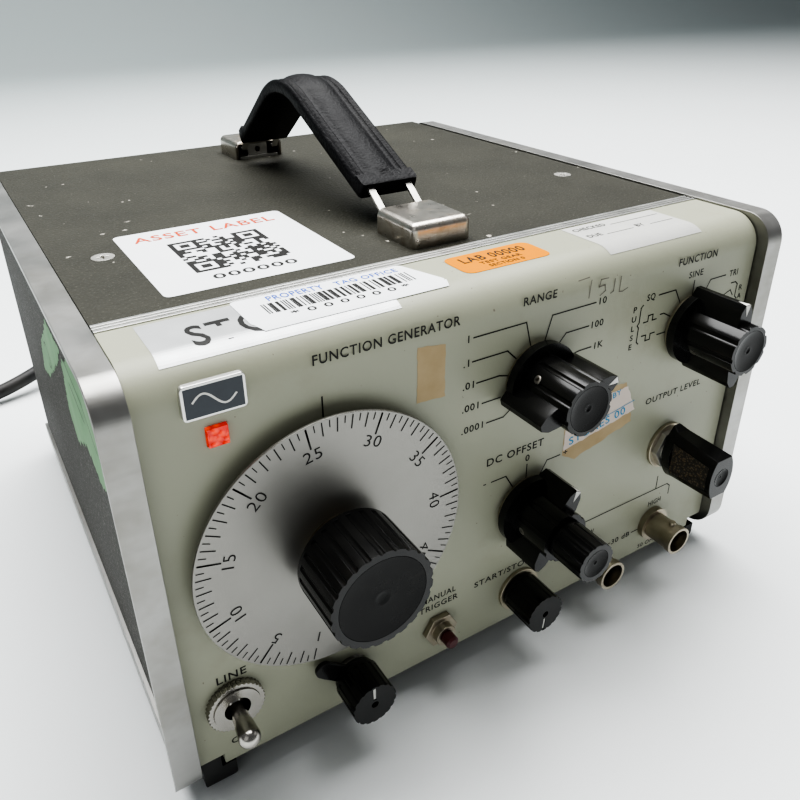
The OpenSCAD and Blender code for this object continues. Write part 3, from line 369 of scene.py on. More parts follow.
panel_light("overhead", (0.15, 0.42, 1.5), (0, 0, 0), (1.8, 1.4), 70)
panel_light("left_front", (-1.2, -0.9, 0.9), (0, 0, 0.05), (1.0, 1.0), 1.6)
panel_light("right_fill", (1.3, -0.5, 0.8), (0, 0, 0.05), (0.8, 0.8), 0.9)
world = bpy.data.worlds.new("room")
world.use_nodes = True
world.node_tree.nodes["Background"].inputs["Color"].default_value = (0.80, 0.82, 0.85, 1)
world.node_tree.nodes["Background"].inputs["Strength"].default_value = 0.20
bpy.context.scene.world = world
bpy.context.scene.view_settings.look = "AgX - High Contrast"

# --- Side castings ---
# Two die-cast aluminium frames, the same piece left and right. Their faces are satin from a belt, and
# the lips along the front and the top are polished by handling.
def cast_metal(w):
    streaks = w.noise(60, 4, 0.6, w.stretched(1, 1, 14))
    wear = w.noise(35, 4, 0.65)
    scratches = w.noise(300, 3, 0.7, w.stretched(1, 0.12, 0.12))
    grime = w.noise(18, 5, 0.7).ramp([(0.50, 0), (0.78, 1)])
    return {
        "Base Color": grime.blend((0.33, 0.327, 0.315), (0.20, 0.193, 0.168)),
        "Roughness": 0.24 + 0.22 * streaks + 0.10 * wear,
        "Normal": scratches.bump(0.12, 0.0002, streaks.bump(0.08, 0.0002)),
    }


casting_finish = material("satin_casting", cast_metal, Metallic=1.0)
for node in ("left_casting", "right_casting"):
    taken_over(node, casting_finish, 0.45, 3)

# --- Side skins and bottom cover ---
# Aluminium sheet with a grey-olive crackle paint, lying on the castings' webs, and the slotted cover
# below in the same paint.
def crackle(w):
    cracks = w.cells(1500, "DISTANCE_TO_EDGE")
    fleck = w.noise(1400, 2)
    patches = w.noise(22, 4)
    tone = patches.blend((0.046, 0.045, 0.040), (0.070, 0.069, 0.062))
    light = fleck.ramp([(0.56, 0), (0.70, 1)])
    return {
        "Base Color": light.blend(tone, (0.17, 0.167, 0.152)),
        "Roughness": 0.55 + 0.15 * patches,
        "Normal": cracks.bump(0.55, 0.0003, fleck.bump(0.4, 0.0003)),
    }


skin_paint = material("crackle_paint", crackle, Specular_IOR_Level=0.12)
for node in ("left_skin", "right_skin", "bottom_cover"):
    taken_over(node, skin_paint, 0.2)

# --- Front panel ---
# One aluminium sheet, folded at the foot and rolled over at the top, in warm light grey paint. Small
# chips, faint stains and a thin veil of dirt show on it.
def panel_paint(w):
    stains = w.noise(26, 5, 0.65)
    veil = w.noise(7, 3)
    specks = w.noise(700, 2).ramp([(0.735, 0), (0.76, 1)])
    clean = veil.blend((0.315, 0.322, 0.243), (0.360, 0.366, 0.280))
    dirty = stains.ramp([(0.55, 0), (0.85, 0.6)]).blend(clean, (0.25, 0.235, 0.160))
    return {
        "Base Color": specks.blend(dirty, (0.20, 0.18, 0.14)),
        "Roughness": 0.38 + 0.16 * stains,
        "Normal": w.noise(900, 3, 0.6).bump(0.10, 0.0002),
    }


panel_finish = material("panel_paint", panel_paint, Specular_IOR_Level=0.45)
taken_over("front_panel", panel_finish, 0.25, 2, 50)

panel_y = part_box("front_panel")[0][1] / MM
base_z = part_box("left_casting")[0][2] / MM
front_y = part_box("left_casting")[0][1] / MM
cover_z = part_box("top_cover")[1][2] / MM
roll_r = 9.0
roll_y = panel_y + roll_r


def on_panel(u, v, lift=0.05):
    """A point on the panel's face, u across and v up from the castings' foot, in millimetres."""
    return Vector((u, panel_y - lift, base_z + v))


def on_roll(u, s, lift=0.05):
    """A point on the panel's top and round its roll; s runs back from the castings' front."""
    y = front_y + s
    if y >= roll_y:
        return Vector((u, y, cover_z + lift))
    a = (roll_y - y) / roll_r
    return Vector((u, roll_y - (roll_r + lift) * math.sin(a),
                   cover_z - roll_r + (roll_r + lift) * math.cos(a)))


def on_cover(u, s, lift=0.05):
    return Vector((u, front_y + s, cover_z + lift))


# --- Lettering on the panel ---
# Thin black screen-printed letters and leader lines round each control. They name what the control
# does, as on any instrument of the kind.
def letters(text, bold=0.013):
    """The text's flat mesh as points and faces, with its cap height 1 and its left end at 0."""
    curve = bpy.data.curves.new("letters", "FONT")
    curve.body = text
    curve.space_character = 1.12
    curve.resolution_u = 3
    curve.offset = bold
    made = add("letters", curve)
    mesh = settled(made)
    bpy.data.objects.remove(made)
    points = [(v.co.x / cap_height, v.co.y / cap_height) for v in mesh.vertices]
    faces = [tuple(p.vertices) for p in mesh.polygons]
    left = min(p[0] for p in points)
    return [(x - left, y) for x, y in points], faces


# The first measure gives the real height of a capital, and letters() divides by it from then on.
cap_height = 1.0
cap_height = max(p[1] for p in letters("H")[0])


def stroke(line, width):
    """A printed line of that width along the points, as flat points and faces."""
    points, faces = [], []
    for a, b in zip(line, line[1:]):
        a, b = Vector(a), Vector(b)
        along = (b - a).normalized() * width / 2
        side = Vector((-along.y, along.x))
        n = len(points)
        points += [tuple(a - along - side), tuple(b + along - side), tuple(b + along + side),
                   tuple(a - along + side)]
        faces.append((n, n + 1, n + 2, n + 3))
    return points, faces


def arc(cx, cy, r, start, stop, steps=8):
    return [(cx + r * math.cos(math.radians(a)), cy + r * math.sin(math.radians(a)))
            for a in np.linspace(start, stop, steps)]


def turned(turn, x, y):
    """The point (x, y) after a turn of that many degrees."""
    c, s = math.cos(math.radians(turn)), math.sin(math.radians(turn))
    return c * x - s * y, s * x + c * y


def print_on(name, point, texts, lines, ink, body="case", slot_name="panel", width=0.36, lift=0.06,
             bold=0.013):
    """Texts (words, u, v, cap height, align 0 to 1, turn, width) and lines as one thin mesh."""
    points, faces = [], []
    for text, u, v, cap, align, turn, *span in texts:
        flat, shapes = letters(text, bold=bold)
        wide = max(p[0] for p in flat)
        wider = span[0] / cap / wide if span else 1.1
        flat = [(wider * x, y) for x, y in flat]
        wide *= wider
        n = len(points)
        for x, y in flat:
            x, y = turned(turn, cap * (x - align * wide), cap * y)
            points.append(point(u + x, v + y, lift))
        faces += [tuple(n + k for k in shape) for shape in shapes]
    for line in lines:
        flat, shapes = stroke(line, width)
        n = len(points)
        points += [point(x, y, lift) for x, y in flat]
        faces += [tuple(n + k for k in shape) for shape in shapes]
    return small_mesh(name, [p * MM for p in points], faces, ink, body, slot_name)


ink = mottled("printed_ink", (400, 3), (0.006, 0.006, 0.006), (0.016, 0.015, 0.013),
    (0.5, 0.1, 300), Specular_IOR_Level=0.3)
words = [
    ("FUNCTION GENERATOR", -54.4, 106.2, 2.4, 0, 0, 37.8), ("RANGE", 7.65, 106.4, 2.2, 0.5, 0, 10.7),
    ("FUNCTION", 66, 105.3, 2.2, 0.5, 0, 16), ("OUTPUT LEVEL", 65.3, 62.3, 2.0, 0.5, 0, 24.5),
    ("DC OFFSET", 3.2, 62.5, 2.3, 0.5, 0, 19.6), ("LINE", -80.9, 29.6, 2.3, 0.5, 0, 7.4),
    ("ON", -81, 7.8, 1.9, 0.5, 0), ("START/STOP", -8.9, 21.2, 1.9, 0, 0, 20.4),
    ("PHASE", 14.2, 21.2, 1.9, 0, 0, 10.3),
    ("MANUAL", -21.2, 23.8, 1.9, 0.5, 0, 11.4), ("TRIGGER", -21.2, 20.7, 1.9, 0.5, 0, 13),
    ("HIGH", 65.5, 20.2, 1.9, 0.5, 0, 5.9), ("LOW", 35.5, 20.2, 1.9, 0.5, 0, 5),
    ("30 dB", 51.2, 11.3, 1.9, 0.5, 0, 8.3),
    ("50 OHM", 65.5, 3.3, 1.6, 0.5, 0), ("-", -7, 56.2, 2.0, 0.5, 0), ("0", 7.5, 59.2, 2.0, 0.5, 0),
    ("+", 21.7, 55.9, 2.0, 0.5, 0), ("SINE", 66.1, 100.7, 1.9, 0.5, 0, 6),
    ("TRI", 83.5, 97.4, 1.9, 0.5, 0, 3.8),
    ("SQ", 48.4, 97.5, 1.9, 0.5, 0, 3.2)]
for text, row in (("1", 101.8), (".1", 95.4), (".01", 89.1), (".001", 82.7), (".0001", 76.4)):
    words.append((text, -15.3 if "." in text else -14.2, row - 0.95, 1.9, 0, 0))
for text, row in (("10", 101.8), ("100", 95.4), ("1K", 88.8)):
    words.append((text, 28.3 if text != "100" else 26.4, row - 0.95, 1.9, 0, 0))
for k, letter in enumerate("PULSE"):
    words.append((letter, 42.6, 95 - 2.85 * k, 1.7, 0.5, 0))
for k, letter in enumerate("RAMP"):
    words.append((letter, 88.4, 91.8 - 2.8 * k, 1.7, 0.5, 0))
leaders = [
    [(-12.5, 101.8), (3.6, 101.8), (5.7, 94.2)], [(-12.6, 95.4), (-1.9, 95.4), (1.6, 91.9)],
    [(-11.1, 89.1), (-4.1, 89.1), (-0.5, 88.1)], [(-9.1, 82.7), (-3.4, 82.7)],
    [(-7.4, 76.4), (-2, 76.4), (-0.2, 77.7)], [(27, 101.7), (12.1, 101.7), (10.2, 95.2)],
    [(25.3, 95.4), (17.4, 95.4), (15.5, 93.4)], [(27, 88.8), (22.8, 88.8), (18.6, 88.2)],
    [(65.9, 99.5), (65.9, 93.4)], [(79.8, 98.3), (73.2, 98.3), (71.9, 95.9)],
    [(51.5, 98.3), (58.3, 98.3), (62.1, 92.1)], [(53.3, 92), (54.7, 92), (59.6, 89.3)],
    [(53.2, 85.7), (58.6, 85.7)], [(46.7, 91), (48.4, 91), (48.4, 92.8), (50.2, 92.8), (50.2, 91),
                                   (51.8, 91)],
    [(46.7, 86.8), (48.4, 86.8), (48.4, 85), (50.2, 85), (50.2, 86.8), (51.9, 86.8)],
    [(45.6, 96.5), (44.9, 95.8), (44.9, 91.4), (44.3, 90.6), (44.9, 89.8), (44.9, 85.4), (45.6, 84.7)],
    [(78.2, 90.3), (81.1, 91.9), (83.5, 92.8), (84.9, 90.9)], [(80.5, 86), (83, 86), (85.3, 87.6),
        (85.3, 86)],
    [(83.4, 95), (85.3, 95), (86.4, 94.1), (86.2, 90.2), (87.1, 89.4), (86.2, 88.6), (86.2, 84.4),
     (85.3, 83.6)],
    [(-4.7, 56.8), (0.2, 56.8), (3.9, 50.5)], [(7.5, 58), (7.5, 52.1)],
    [(19.6, 56.7), (14.9, 56.7), (11.5, 50.8)], [(65, 31.5), (65, 26.5)],
    [(28.7, 22), (28.7, 25.3), (30, 26.5), (70.4, 26.5), (71.8, 25.3), (71.8, 22)],
    [(42.6, 12.2), (46.4, 12.2)], [(56.3, 12.2), (59.8, 12.2)], [(-52.75, 93.4), (-52.75, 98.2)]]
print_on("panel_lettering", on_panel, words, leaders, ink)

# --- Strip, top cover and its screws ---
# A ribbed anodised strip, then the dark cover with its grained olive paint, rubbed lighter in places,
# held by two countersunk screws.
strip_metal = mottled("ribbed_strip", (50, 4), (0.50, 0.50, 0.48), (0.68, 0.68, 0.66),
    (0.25, 0.2, 90, 3), Metallic=1.0)
taken_over("trim_strip", strip_metal, 0.12)


def cover_paint(w):
    grain = w.cells(1100, "F1")
    fleck = w.noise(1500, 2)
    rubbed = w.noise(15, 5, 0.7)
    nick = w.noise(260, 3).ramp([(0.72, 0), (0.75, 1)])
    tone = rubbed.ramp([(0.35, 0), (0.7, 1)]).blend((0.026, 0.0255, 0.0185), (0.044, 0.043, 0.032))
    light = fleck.ramp([(0.60, 0), (0.72, 1)]).blend(tone, (0.085, 0.082, 0.064))
    return {
        "Base Color": nick.blend(light, (0.42, 0.40, 0.35)),
        "Roughness": 0.50 + 0.2 * rubbed,
        "Normal": grain.bump(0.5, 0.0003, fleck.bump(0.35, 0.0003)),
    }


cover_finish = material("cover_paint", cover_paint, Specular_IOR_Level=0.25)
taken_over("top_cover", cover_finish, 0.15)
zinc = mottled("zinc_plate", (180, 3), (0.42, 0.41, 0.38), (0.62, 0.61, 0.57),
    (0.28, 0.25, 250, 3), (700, 2, 0.1, 0.0001), Metallic=1.0)
for node in ("top_screws", "handle_brackets", "handle_prongs", "tilt_stand", "dial_shaft"):
    taken_over(node, zinc, 0.12)

# --- Strap handle ---
# A vinyl strap moulded round spring steel: crowned in the middle, with two ribs along each edge and a
# fine leather grain. Its ends are square blocks that the prongs come out of.
def leather(w):
    pebbles = w.cells(1250, "F1")
    creases = w.noise(500, 4, 0.65, w.stretched(1, 0.5, 0.5))
    worn = w.noise(60, 4).ramp([(0.55, 0), (0.8, 1)])
    return {
        "Base Color": worn.blend((0.008, 0.008, 0.009), (0.022, 0.022, 0.022)),
        "Roughness": 0.42 + 0.18 * creases,
        "Normal": pebbles.bump(0.45, 0.00025, creases.bump(0.35, 0.0003)),
    }


strap_t, strap_bend_r = 5.4, 29.0
front_slope, rear_slope, front_run, rear_run = 26.0, 35.5, 47.0, 31.5
bend_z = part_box("handle_strap")[1][2] / MM - strap_bend_r
bend_y = front_y + 116.2
half_section = [(9.1, -2.7), (9.5, -2.3), (9.5, 0.3), (9.2, 1.1), (8.6, 1.5), (8.0, 1.2), (7.4, 0.9),
                (6.9, 1.3),
    (6.3, 1.55), (5.8, 1.15), (5.2, 1.1), (4.2, 1.75), (2.6, 2.35), (0.9, 2.6)]
section = half_section + [(-x, h) for x, h in reversed(half_section)]


def strap_frame(s):
    """The strap's middle line: the point (y, z) and the outward normal's angle, s from its front end."""
    mid_r = strap_bend_r - strap_t / 2
    bend_l = math.radians(180 - (90 - front_slope) - (90 - rear_slope)) * mid_r
    if s < front_run:
        a, off = 90 + front_slope, front_run - s
    elif s < front_run + bend_l:
        a, off = 90 + front_slope - math.degrees((s - front_run) / mid_r), 0
    else:
        a, off = 90 - rear_slope, -(s - front_run - bend_l)
    a = math.radians(a)
    y = bend_y + mid_r * math.cos(a) - off * math.sin(a)
    z = bend_z + mid_r * math.sin(a) + off * math.cos(a)
    return y, z, a, front_run + bend_l + rear_run


total = strap_frame(0)[3]
stations = [0, 0.25, 0.9, 2.0, 4.5, 5.0] + list(np.linspace(7, total - 7, 60)) + [
    total - 5.0, total - 4.5, total - 2.0, total - 0.9, total - 0.25, total]
points, faces = [], []
for s in stations:
    y, z, a, _ = strap_frame(s)
    end = min(s, total - s)
    shrink = 1 - 0.06 * max(0.0, 1 - end / 0.9) ** 2
    for x, h in section:
        block = max(0.0, min(1.0, (4.75 - end) / 0.25)) if h > 0.2 else 0
        h = h + block * (2.3 - h) if abs(x) < 9.3 else h
        points.append((x * shrink, y + shrink * h * math.cos(a), z + shrink * h * math.sin(a)))
n = len(section)
for k in range(len(stations) - 1):
    faces += [(k * n + j, k * n + (j + 1) % n, (k + 1) * n + (j + 1) % n, (k + 1) * n + j) for j in range(n)]
faces += [tuple(reversed(range(n))), tuple((len(stations) - 1) * n + j for j in range(n))]


def outwards(mesh):
    """Turns the mesh's faces outwards."""
    work = bmesh.new()
    work.from_mesh(mesh)
    bmesh.ops.recalc_face_normals(work, faces=work.faces)
    work.to_mesh(mesh)
    work.free()
    mesh.shade_smooth()
    mesh.set_sharp_from_angle(angle=math.radians(50))


strap_finish = material("strap_vinyl", leather, Specular_IOR_Level=0.14)
strap = small_mesh("strap", [tuple(MM * c for c in p) for p in points], faces, strap_finish,
                   "handle", "strap", "handle_strap")
outwards(strap.data)


# Die-cast caps, nickel plated, over the strap's anchors. The plating is pitted and worn through to a
# duller metal at the edges.
def nickel(w):
    pits = w.cells(420, "F1").ramp([(0.06, 1), (0.16, 0)])
    clouds = w.noise(110, 5, 0.7)
    worn = clouds.ramp([(0.50, 0), (0.66, 1)])
    return {
        "Base Color": (pits * worn).blend(worn.blend((0.56, 0.53, 0.48), (0.42, 0.37, 0.30)),
                                          (0.12, 0.09, 0.06)),
        "Roughness": 0.16 + 0.30 * clouds,
        "Normal": pits.bump(-0.25, 0.0002, clouds.bump(0.25, 0.0004)),
    }


nickel_plate = material("nickel_plate", nickel, Metallic=1.0)
cap_l, cap_w, cap_top, cap_edge_r, cap_wall = 18.5, 19.0, 6.8, 2.1, 1.15
caps_low, caps_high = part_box("handle_caps")
shells = []
for nose_y, way in ((caps_low[1] / MM, 1), (caps_high[1] / MM, -1)):
    work = bmesh.new()
    bmesh.ops.create_cube(work, size=1)
    for v in work.verts:
        v.co = Vector((v.co.x * cap_w, nose_y + way * cap_l * (0.5 + v.co.y),
                       cover_z + cap_top * (0.5 + v.co.z)))
    open_end = nose_y * way + cap_l * 0.9
    gone = [f for f in work.faces if f.normal.z < -0.5 or f.calc_center_median().y * way > open_end]
    bmesh.ops.delete(work, geom=gone, context="FACES")
    kept = [e for e in work.edges if len(e.link_faces) == 2]
    bmesh.ops.bevel(work, geom=kept, offset=cap_edge_r, segments=6, profile=0.5, affect="EDGES")
    bmesh.ops.recalc_face_normals(work, faces=work.faces)
    shell = bpy.data.meshes.new("cap")
    work.to_mesh(shell)
    work.free()
    shells.append(shell)
work = bmesh.new()
for shell in shells:
    work.from_mesh(shell)
if sum(f.normal.z * f.calc_area() for f in work.faces) < 0:
    bmesh.ops.reverse_faces(work, faces=work.faces)
for v in work.verts:
    v.co *= MM
caps_mesh = bpy.data.meshes.new("caps")
work.to_mesh(caps_mesh)
work.free()
caps = add("caps", caps_mesh)
thick = caps.modifiers.new("wall", "SOLIDIFY")
thick.thickness = cap_wall * MM
thick.offset = -1
weighted = caps.modifiers.new("weights", "WEIGHTED_NORMAL")
weighted.weight = 80
caps_mesh.shade_smooth()
whole = settled(caps)
caps.modifiers.clear()
caps.data = whole
caps.data.materials.append(nickel_plate)
declare(caps, "case", "bright", "handle_caps")

# --- Frequency dial ---
# A disc of clear anodised aluminium with a circular brushed grain. Its scale from 1 to 50 is engraved
# and filled black, with long marks at the fives, and it turns with the knob on a brass hub.
dial_x = -52.75
dial_z = 60.8
dial_out = panel_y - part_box("dial")[0][1] / MM


def dial_metal(w):
    place = w.place()
    from_axis = w.node("ShaderNodeVectorMath", {"operation": "SUBTRACT"},
                       {0: place, 1: (dial_x * MM, 0, (base_z + dial_z) * MM)})
    flat = w.node("ShaderNodeVectorMath", {"operation": "MULTIPLY"}, {0: from_axis, 1: (1, 0, 1)})
    away = w.node("ShaderNodeVectorMath", {"operation": "LENGTH"}, {0: flat}, 1)
    rings = w.noise(2600, 2, 0.5, w.node("ShaderNodeCombineXYZ", {}, {0: away}))
    smudge = w.noise(45, 4)
    return {
        "Base Color": smudge.blend((0.225, 0.220, 0.203), (0.315, 0.309, 0.288)),
        "Roughness": 0.30 + 0.14 * smudge + 0.10 * rings,
        "Normal": rings.bump(0.10, 0.0001),
    }


taken_over("dial", material("dial_metal", dial_metal, Metallic=0.85), 0.15)
brass = mottled("turned_brass", (200, 3), (0.40, 0.36, 0.27), (0.54, 0.50, 0.40),
    (0.28, 0.2, 300, 2), Metallic=1.0)
tarnished = mottled("tarnished_brass", (200, 3), (0.10, 0.085, 0.06), (0.26, 0.22, 0.15),
    (0.34, 0.2, 300, 2), Metallic=1.0)
taken_over("dial_hub", tarnished, 0.2)
taken_over("dress_washers", brass, 0.2)


def on_dial(u, v, lift=0.05):
    """A point on the dial's face, u across and v up from its axis."""
    return Vector((dial_x + u, panel_y - dial_out - lift, base_z + dial_z + v))


angle_at_25, degrees_each = 100.4, 6.46
scale_r, numeral_r = 33.9, 25.4


def dial_angle(value):
    return angle_at_25 - degrees_each * (value - 25)


def marks_tree():
    """Geometry nodes that lay equal marks round an axis, as one flat mesh on the front of the dial."""
    tree = bpy.data.node_groups.new("scale_marks", "GeometryNodeTree")
    for name, kind in (("Count", "NodeSocketInt"), ("First", "NodeSocketFloat"), ("Step", "NodeSocketFloat"),
                       ("Radius", "NodeSocketFloat"), ("Length", "NodeSocketFloat"),
                       ("Width", "NodeSocketFloat"),
                       ("Place", "NodeSocketVector"), ("Ink", "NodeSocketMaterial")):
        tree.interface.new_socket(name, in_out="INPUT", socket_type=kind)
    tree.interface.new_socket("Marks", in_out="OUTPUT", socket_type="NodeSocketGeometry")
    start = tree.nodes.new("NodeGroupInput")

    def node(kind, settings=(), **inputs):
        made = tree.nodes.new(kind)
        for key, value in dict(settings).items():
            setattr(made, key, value)
        for key, value in inputs.items():
            socket = made.inputs[int(key[1:]) if key[0] == "i" and key[1:].isdigit() else key.replace("_",
                " ")]
            if isinstance(value, bpy.types.NodeSocket):
                tree.links.new(value, socket)
            else:
                socket.default_value = value
        return made

    def maths(operation, a, b=0.0):
        return node("ShaderNodeMath", {"operation": operation}, i0=a, i1=b).outputs[0]

    line = node("GeometryNodeMeshLine", {"mode": "OFFSET"}, Count=start.outputs["Count"], Offset=(0, 0, 0))
    index = node("GeometryNodeInputIndex").outputs[0]
    angle = maths("ADD", maths("MULTIPLY", index, start.outputs["Step"]), start.outputs["First"])
    radius = start.outputs["Radius"]
    place = node("ShaderNodeCombineXYZ", i0=maths("MULTIPLY", radius, maths("COSINE", angle)),
                 i1=maths("MULTIPLY", radius, maths("SINE", angle))).outputs[0]
    laid = node("GeometryNodeSetPosition", Geometry=line.outputs[0], Position=place)
    mark = node("GeometryNodeMeshGrid", Size_X=start.outputs["Length"], Size_Y=start.outputs["Width"],
                Vertices_X=2, Vertices_Y=2)
    turn = node("ShaderNodeCombineXYZ", i2=angle).outputs[0]
    spread = node("GeometryNodeInstanceOnPoints", Points=laid.outputs[0], Instance=mark.outputs[0],
                  Rotation=turn)
    upright_marks = node("GeometryNodeTransform", Geometry=spread.outputs[0], Rotation=(math.pi / 2, 0, 0),
                         Translation=start.outputs["Place"])
    real = node("GeometryNodeRealizeInstances", Geometry=upright_marks.outputs[0])
    inked = node("GeometryNodeSetMaterial", Geometry=real.outputs[0], Material=start.outputs["Ink"])
    tree.links.new(inked.outputs[0], tree.nodes.new("NodeGroupOutput").inputs[0])
    return tree


def grown(name, tree, values):
    """The mesh that a geometry nodes tree makes from those values, as a piece."""
    piece = add(name, bpy.data.meshes.new(name))
    grow = piece.modifiers.new("grow", "NODES")
    grow.node_group = tree
    for socket in tree.interface.items_tree:
        if socket.in_out == "INPUT" and socket.name in values:
            grow[socket.identifier] = values[socket.name]
    piece.data = settled(piece)
    piece.modifiers.clear()
    return piece


scale_marks = marks_tree()
for name, count, first, step, length, width in (
        ("dial_marks_long", 10, 5, 5, 5.4, 0.42), ("dial_marks_unit", 50, 1, 1, 3.5, 0.30),
        ("dial_marks_half", 49, 1.5, 1, 1.8, 0.24)):
    piece = grown(name, scale_marks, {
        "Count": count, "First": math.radians(dial_angle(first)), "Step": math.radians(-degrees_each * step),
        "Radius": (scale_r - length / 2) * MM, "Length": length * MM, "Width": width * MM,
        "Place": tuple(on_dial(0, 0, 0.06) * MM), "Ink": ink})
    declare(piece, "dial_group", "dial")
numerals = []
for value in [1] + list(range(5, 51, 5)):
    a = math.radians(dial_angle(value))
    numerals.append((str(value), numeral_r * math.cos(a), numeral_r * math.sin(a), 2.9, 0.5,
                     dial_angle(value) - 90))
print_on("dial_numerals", on_dial, numerals, [], ink, "dial_group", "dial", bold=-0.006)

# --- Knobs ---
# Black phenolic mouldings with a wet gloss, dulled by dust in their flutes and finger marks on their
# faces. The small ones carry a white index line.
def phenolic(w):
    dust = w.noise(120, 5, 0.7)
    worn = w.noise(45, 3)
    return {
        "Base Color": dust.ramp([(0.52, 0), (0.78, 1)]).blend((0.006, 0.006, 0.0058),
            (0.013, 0.0128, 0.0115)),
        "Roughness": 0.12 + 0.20 * worn,
        "Normal": w.noise(500, 3).bump(0.05, 0.0002),
    }


knob_black = material("knob_black", phenolic, Specular_IOR_Level=0.32, Coat_Weight=0.05, Coat_Roughness=0.06)
for node in ("dial_knob", "range_knob", "function_knob", "offset_switch_knob", "offset_level_knob",
             "level_knob",
             "phase_knob", "mode_lever", "mode_knob"):
    taken_over(node, knob_black, 0.35, 3)
axis_at = {"dial_group": (-52.8, 60.8), "range": (7.6, 85.7), "function": (65.9, 85.7),
           "offset_outer": (7.6, 44.2), "offset_inner": (7.6, 44.2), "level": (65.1, 44.2),
           "phase": (7.6, 13), "mode_inner": (-49.3, 13)}
white_fill = mottled("white_fill", (300, 3), (0.62, 0.61, 0.57), (0.78, 0.77, 0.73), (0.5, 0.1, 200))


def on_axis(body, out, x, y):
    """A point x right and y up of a knob's axis, that far out of the panel."""
    u, v = axis_at[body]
    return Vector((u + x, panel_y - out, base_z + v + y)) * MM


for name, turn, bar_top in (("range", 15, 17), ("function", 90, 18), ("offset_outer", 60, 14)):
    flat = [(9.2, 0, bar_top + 0.04), (12.4, -0.95, bar_top + 0.04), (12.4, 0.95, bar_top + 0.04),
            (12.64, -0.8, bar_top - 0.1), (12.64, 0.8, bar_top - 0.1), (12.64, 0, bar_top - 3.2)]
    small_mesh(name + "_mark", [on_axis(name, out, *turned(turn, x, y)) for x, y, out in flat],
               [(0, 1, 2), (1, 3, 4, 2), (3, 5, 4)], white_fill, name, "knob")
small_face = 12.55
for name, turn in (("phase", 265), ("mode_inner", 90)):
    flat = [(1.7, -0.38), (5.5, -0.38), (5.5, 0.38), (1.7, 0.38)]
    small_mesh(name + "_mark", [on_axis(name, small_face, *turned(turn, x, y)) for x, y in flat],
               [(0, 1, 2, 3)], white_fill, name, "knob")
screw_sides = 24
screw_steel = mottled("set_screw", (600, 2), (0.24, 0.225, 0.20), (0.40, 0.38, 0.34),
    (0.35, 0.2, 500), Metallic=1.0)
for name, out, turn, reach in (("range", 7.5, 145, 7.15), ("function", 7.5, 220, 7.15),
                               ("offset_outer", 7.5, 190, 7.15), ("level", 10, 180, 4.2)):
    points, shapes = [], []
    for r, away in ((1.12, reach - 1.2), (1.12, reach - 0.15), (0.97, reach), (0.55, reach),
                    (0.5, reach - 0.9)):
        for k in range(screw_sides):
            a = 2 * math.pi * k / screw_sides
            side, up = r * math.cos(a), r * math.sin(a)
            points.append(on_axis(name, out + up, *turned(turn, away, side)))
    for at in range(0, 4 * screw_sides, screw_sides):
        shapes += [(at + k, at + (k + 1) % screw_sides, at + screw_sides + (k + 1) % screw_sides,
                    at + screw_sides + k) for k in range(screw_sides)]
    shapes.append(tuple(4 * screw_sides + k for k in range(screw_sides)))
    piece = small_mesh(name + "_set_screw", points, shapes, screw_steel, name, "knob")
    outwards(piece.data)


knob_face = material("knob_face", phenolic, Specular_IOR_Level=0.14)


def dished(name, body, front, radius):
    """The glossy hollow in a knob's face, with the small dimple of its mould in the middle."""
    depth, sides = 0.76, 72
    profile = [(0.0, -1.0), (0.06, -0.98), (0.13, -0.82), (0.17, -0.62), (0.20, -0.66), (0.30, -0.66),
               (0.45, -0.62), (0.60, -0.54), (0.74, -0.42), (0.86, -0.26), (0.94, -0.12), (1.0, -0.02)]
    points = [on_axis(body, front + depth * profile[0][1], 0, 0)]
    for share, height in profile[1:]:
        for k in range(sides):
            a = 2 * math.pi * k / sides
            points.append(on_axis(body, front + depth * height, share * radius * math.cos(a),
                                  share * radius * math.sin(a)))
    shapes = [(0, 1 + k, 1 + (k + 1) % sides) for k in range(sides)]
    for ring in range(len(profile) - 2):
        at = 1 + ring * sides
        shapes += [(at + k, at + sides + k, at + sides + (k + 1) % sides,
                    at + (k + 1) % sides) for k in range(sides)]
    piece = small_mesh(name, points, shapes, knob_face, body, "knob")
    piece.data.shade_smooth()


dial_face = -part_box("dial_knob")[0][1] / MM + panel_y
for name, body, front, radius in (
        ("dial_knob_dish", "dial_group", dial_face, 10.7), ("range_dish", "range", 20, 6.0),
        ("function_dish", "function", 21, 6.0), ("offset_dish", "offset_inner", 28.5, 4.0),
        ("level_dish", "level", 21.6, 2.9)):
    dished(name, body, front, radius)
lattice = material("lattice_wear", lambda w: {
    "Base Color": w.cells(1300).ramp([(0.25, 0), (0.5, 1)]).blend((0.10, 0.070, 0.038),
        (0.014, 0.011, 0.008)),
    "Roughness": 0.35 + 0.2 * w.noise(200),
    "Normal": w.cells(1300).bump(0.6, 0.0004)})
pocket_x = 4.36
for side, name in ((-1, "level_pocket_left"), (1, "level_pocket_right")):
    flat = [(-5.25, 6.7), (5.25, 6.7), (4.1, 19.8), (-4.1, 19.8)]
    points = [on_axis("level", out, side * pocket_x, y) for y, out in flat]
    small_mesh(name, points, [(0, 1, 2, 3) if side < 0 else (3, 2, 1, 0)], lattice, "level", "knob")

